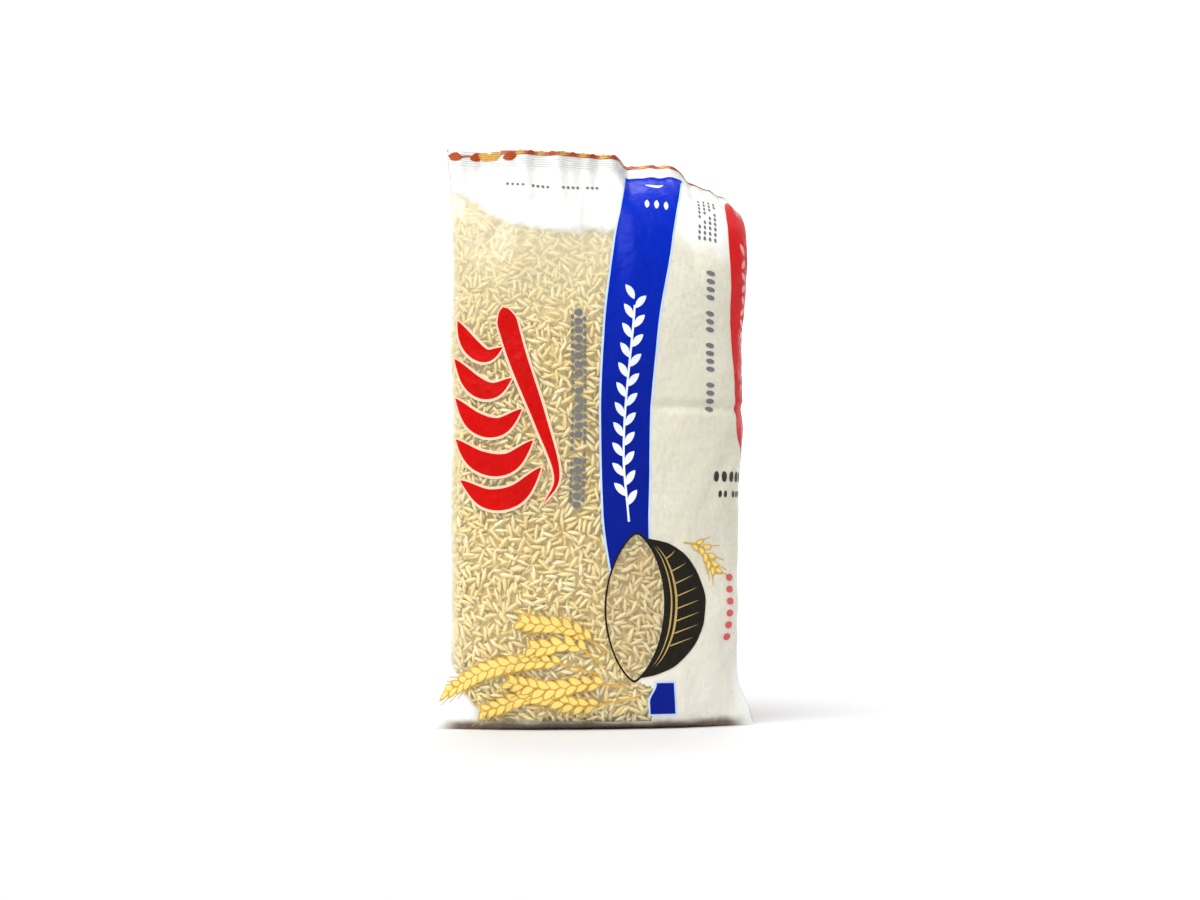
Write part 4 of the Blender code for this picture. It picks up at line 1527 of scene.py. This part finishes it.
def loose_rice():
    """The grains that lie against the film, as one piece for each kind."""
    generator = np.random.default_rng(GRAIN_SEED)
    shape, shape_faces = grain_shape()
    spots, directions = lay_grains(generator)
    count = len(spots)
    kind_ends = np.cumsum([kind[0] for kind in GRAIN_KINDS.values()])
    kind = np.searchsorted(kind_ends, generator.uniform(0.0, kind_ends[-1] - 1e-9, count))
    size = generator.normal(1.0, SIZE_SPREAD, (count, 3)).clip(*SIZE_LIMITS)
    tone = generator.beta(2.2, 2.0, count)
    for number, (name, (_, length_share, *finish)) in enumerate(GRAIN_KINDS.items()):
        mine = kind == number
        body = shape[None] * (size[mine] * np.array([length_share, 1.0, 1.0]))[:, None, :]
        points = spots[mine][:, None] + body @ directions[mine]
        inside = inside_film(points)
        points = points[inside]
        faces = [
            [start + point for point in face]
            for start in range(0, len(points) * len(shape), len(shape)) for face in shape_faces
        ]
        material = rice_material(f"{name}_rice", *finish)
        grains = piece_from(f"rice_{name}", points.reshape(-1, 3), faces, material, "rice")
        keep_on_points(grains.data, "tone", np.repeat(tone[mine][inside], len(shape)))
        along_grain = np.abs(shape[:, 0]) / (GRAIN_LENGTH / 2)
        keep_on_points(grains.data, "length_place", np.tile(along_grain, len(points)))


# Floor, light and camera

FLOOR_RADIUS, SWEEP_RADIUS, WALL_HEIGHT = 2.8, 1.0, 0.9
SWEEP_STEPS = 14
LIGHT_FROM = (-0.42, -0.50, 0.76)
CAMERA_TURN = math.radians(-8.0)
CAMERA_DISTANCE = 1.0
CAMERA_HEIGHT = 0.090
AIM = (0.0035, 0.0, 0.1356)
FRAME_WIDTH_AT_BAG = 0.5916


def make_floor():
    """A pale round floor that sweeps up into a low wall all round."""
    bpy.ops.object.select_all(action="DESELECT")
    bpy.ops.mesh.primitive_circle_add(vertices=96, radius=FLOOR_RADIUS, fill_type="NGON")
    floor = bpy.context.object
    floor.name = "floor"
    bpy.ops.object.mode_set(mode="EDIT")
    bpy.ops.mesh.select_all(action="SELECT")
    bpy.ops.mesh.inset(thickness=0.15)
    bpy.ops.mesh.select_mode(type="EDGE")
    bpy.ops.mesh.select_all(action="DESELECT")
    bpy.ops.mesh.select_non_manifold()
    radius, height = FLOOR_RADIUS, 0.0
    for step in range(1, SWEEP_STEPS + 1):
        angle = math.pi / 2 * step / SWEEP_STEPS
        next_radius = FLOOR_RADIUS + SWEEP_RADIUS * math.sin(angle)
        next_height = SWEEP_RADIUS * (1.0 - math.cos(angle))
        bpy.ops.mesh.extrude_region_move(TRANSFORM_OT_translate={"value": (0.0, 0.0, next_height - height)})
        grow = next_radius / radius
        bpy.ops.transform.resize(value=(grow, grow, 1.0))
        radius, height = next_radius, next_height
    bpy.ops.mesh.extrude_region_move(TRANSFORM_OT_translate={"value": (0.0, 0.0, WALL_HEIGHT)})
    bpy.ops.object.mode_set(mode="OBJECT")
    floor.data.shade_smooth()
    material, surface = new_material("pale_floor")
    tone = between(material, noise(material, object_place(material), 3.0, 2.0), 0.3, 0.7)
    pale = mixed(material, tone, (0.69, 0.69, 0.69, 1.0), (0.71, 0.71, 0.71, 1.0))
    dress(material, surface, Base_Color=pale, Roughness=0.7)
    floor.data.materials.append(material)
    floor.select_set(False)


def area_light(name, place, target, size, power):
    """A rectangular light that shines from its place towards a target."""
    light = bpy.data.lights.new(name, "AREA")
    light.shape = "RECTANGLE"
    light.size, light.size_y = size
    light.energy = power
    lamp = bpy.data.objects.new(name, light)
    lamp.location = place
    lamp.rotation_euler = (Vector(target) - Vector(place)).to_track_quat("-Z", "Y").to_euler()
    bpy.context.scene.collection.objects.link(lamp)


def make_light():
    """Pale surroundings, a soft light from high on the left, a weak one from behind, and a lit backdrop."""
    world = bpy.data.worlds.new("studio")
    world.use_nodes = True
    sky = world.node_tree.nodes["Background"]
    sky.inputs["Color"].default_value = (1.0, 1.0, 1.0, 1.0)
    sky.inputs["Strength"].default_value = 0.42
    bpy.context.scene.world = world
    sun = bpy.data.lights.new("high_soft_light", "SUN")
    sun.energy = 3.6
    sun.angle = math.radians(50.0)
    lamp = bpy.data.objects.new("high_soft_light", sun)
    lamp.rotation_euler = Vector(LIGHT_FROM).to_track_quat("Z", "Y").to_euler()
    bpy.context.scene.collection.objects.link(lamp)
    area_light("high_back_light", (0.10, 0.60, 1.45), (0.0, 0.0, 0.10), (0.7, 0.5), 6.5)
    area_light("backdrop_wash", (0.0, 1.4, 1.7), (0.0, 3.4, 0.5), (3.0, 0.8), 55.0)


def make_camera():
    """The camera at the photograph's angle: below the bag's middle, and a little to its left."""
    camera = bpy.data.cameras.new("camera")
    camera.sensor_width = 36.0
    camera.lens = camera.sensor_width * CAMERA_DISTANCE / FRAME_WIDTH_AT_BAG
    camera.clip_start, camera.clip_end = 0.01, 50.0
    holder = bpy.data.objects.new("camera", camera)
    back = Vector((math.sin(CAMERA_TURN), -math.cos(CAMERA_TURN), 0.0))
    holder.location = Vector((AIM[0], AIM[1], CAMERA_HEIGHT)) + back * CAMERA_DISTANCE
    holder.rotation_euler = (Vector(AIM) - holder.location).to_track_quat("-Z", "Y").to_euler()
    bpy.context.scene.collection.objects.link(holder)
    bpy.context.scene.camera = holder


def main():
    scene = bpy.context.scene
    scene.view_settings.view_transform = "Standard"
    bpy.ops.object.select_all(action="DESELECT")
    film_pieces()
    base()
    back_seam()
    blue_band()
    band_sprig()
    red_emblem()
    small_print()
    dark_leaf()
    gold_ears()
    seal_border()
    side_band()
    packed_rice()
    loose_rice()
    make_floor()
    make_light()
    make_camera()


main()
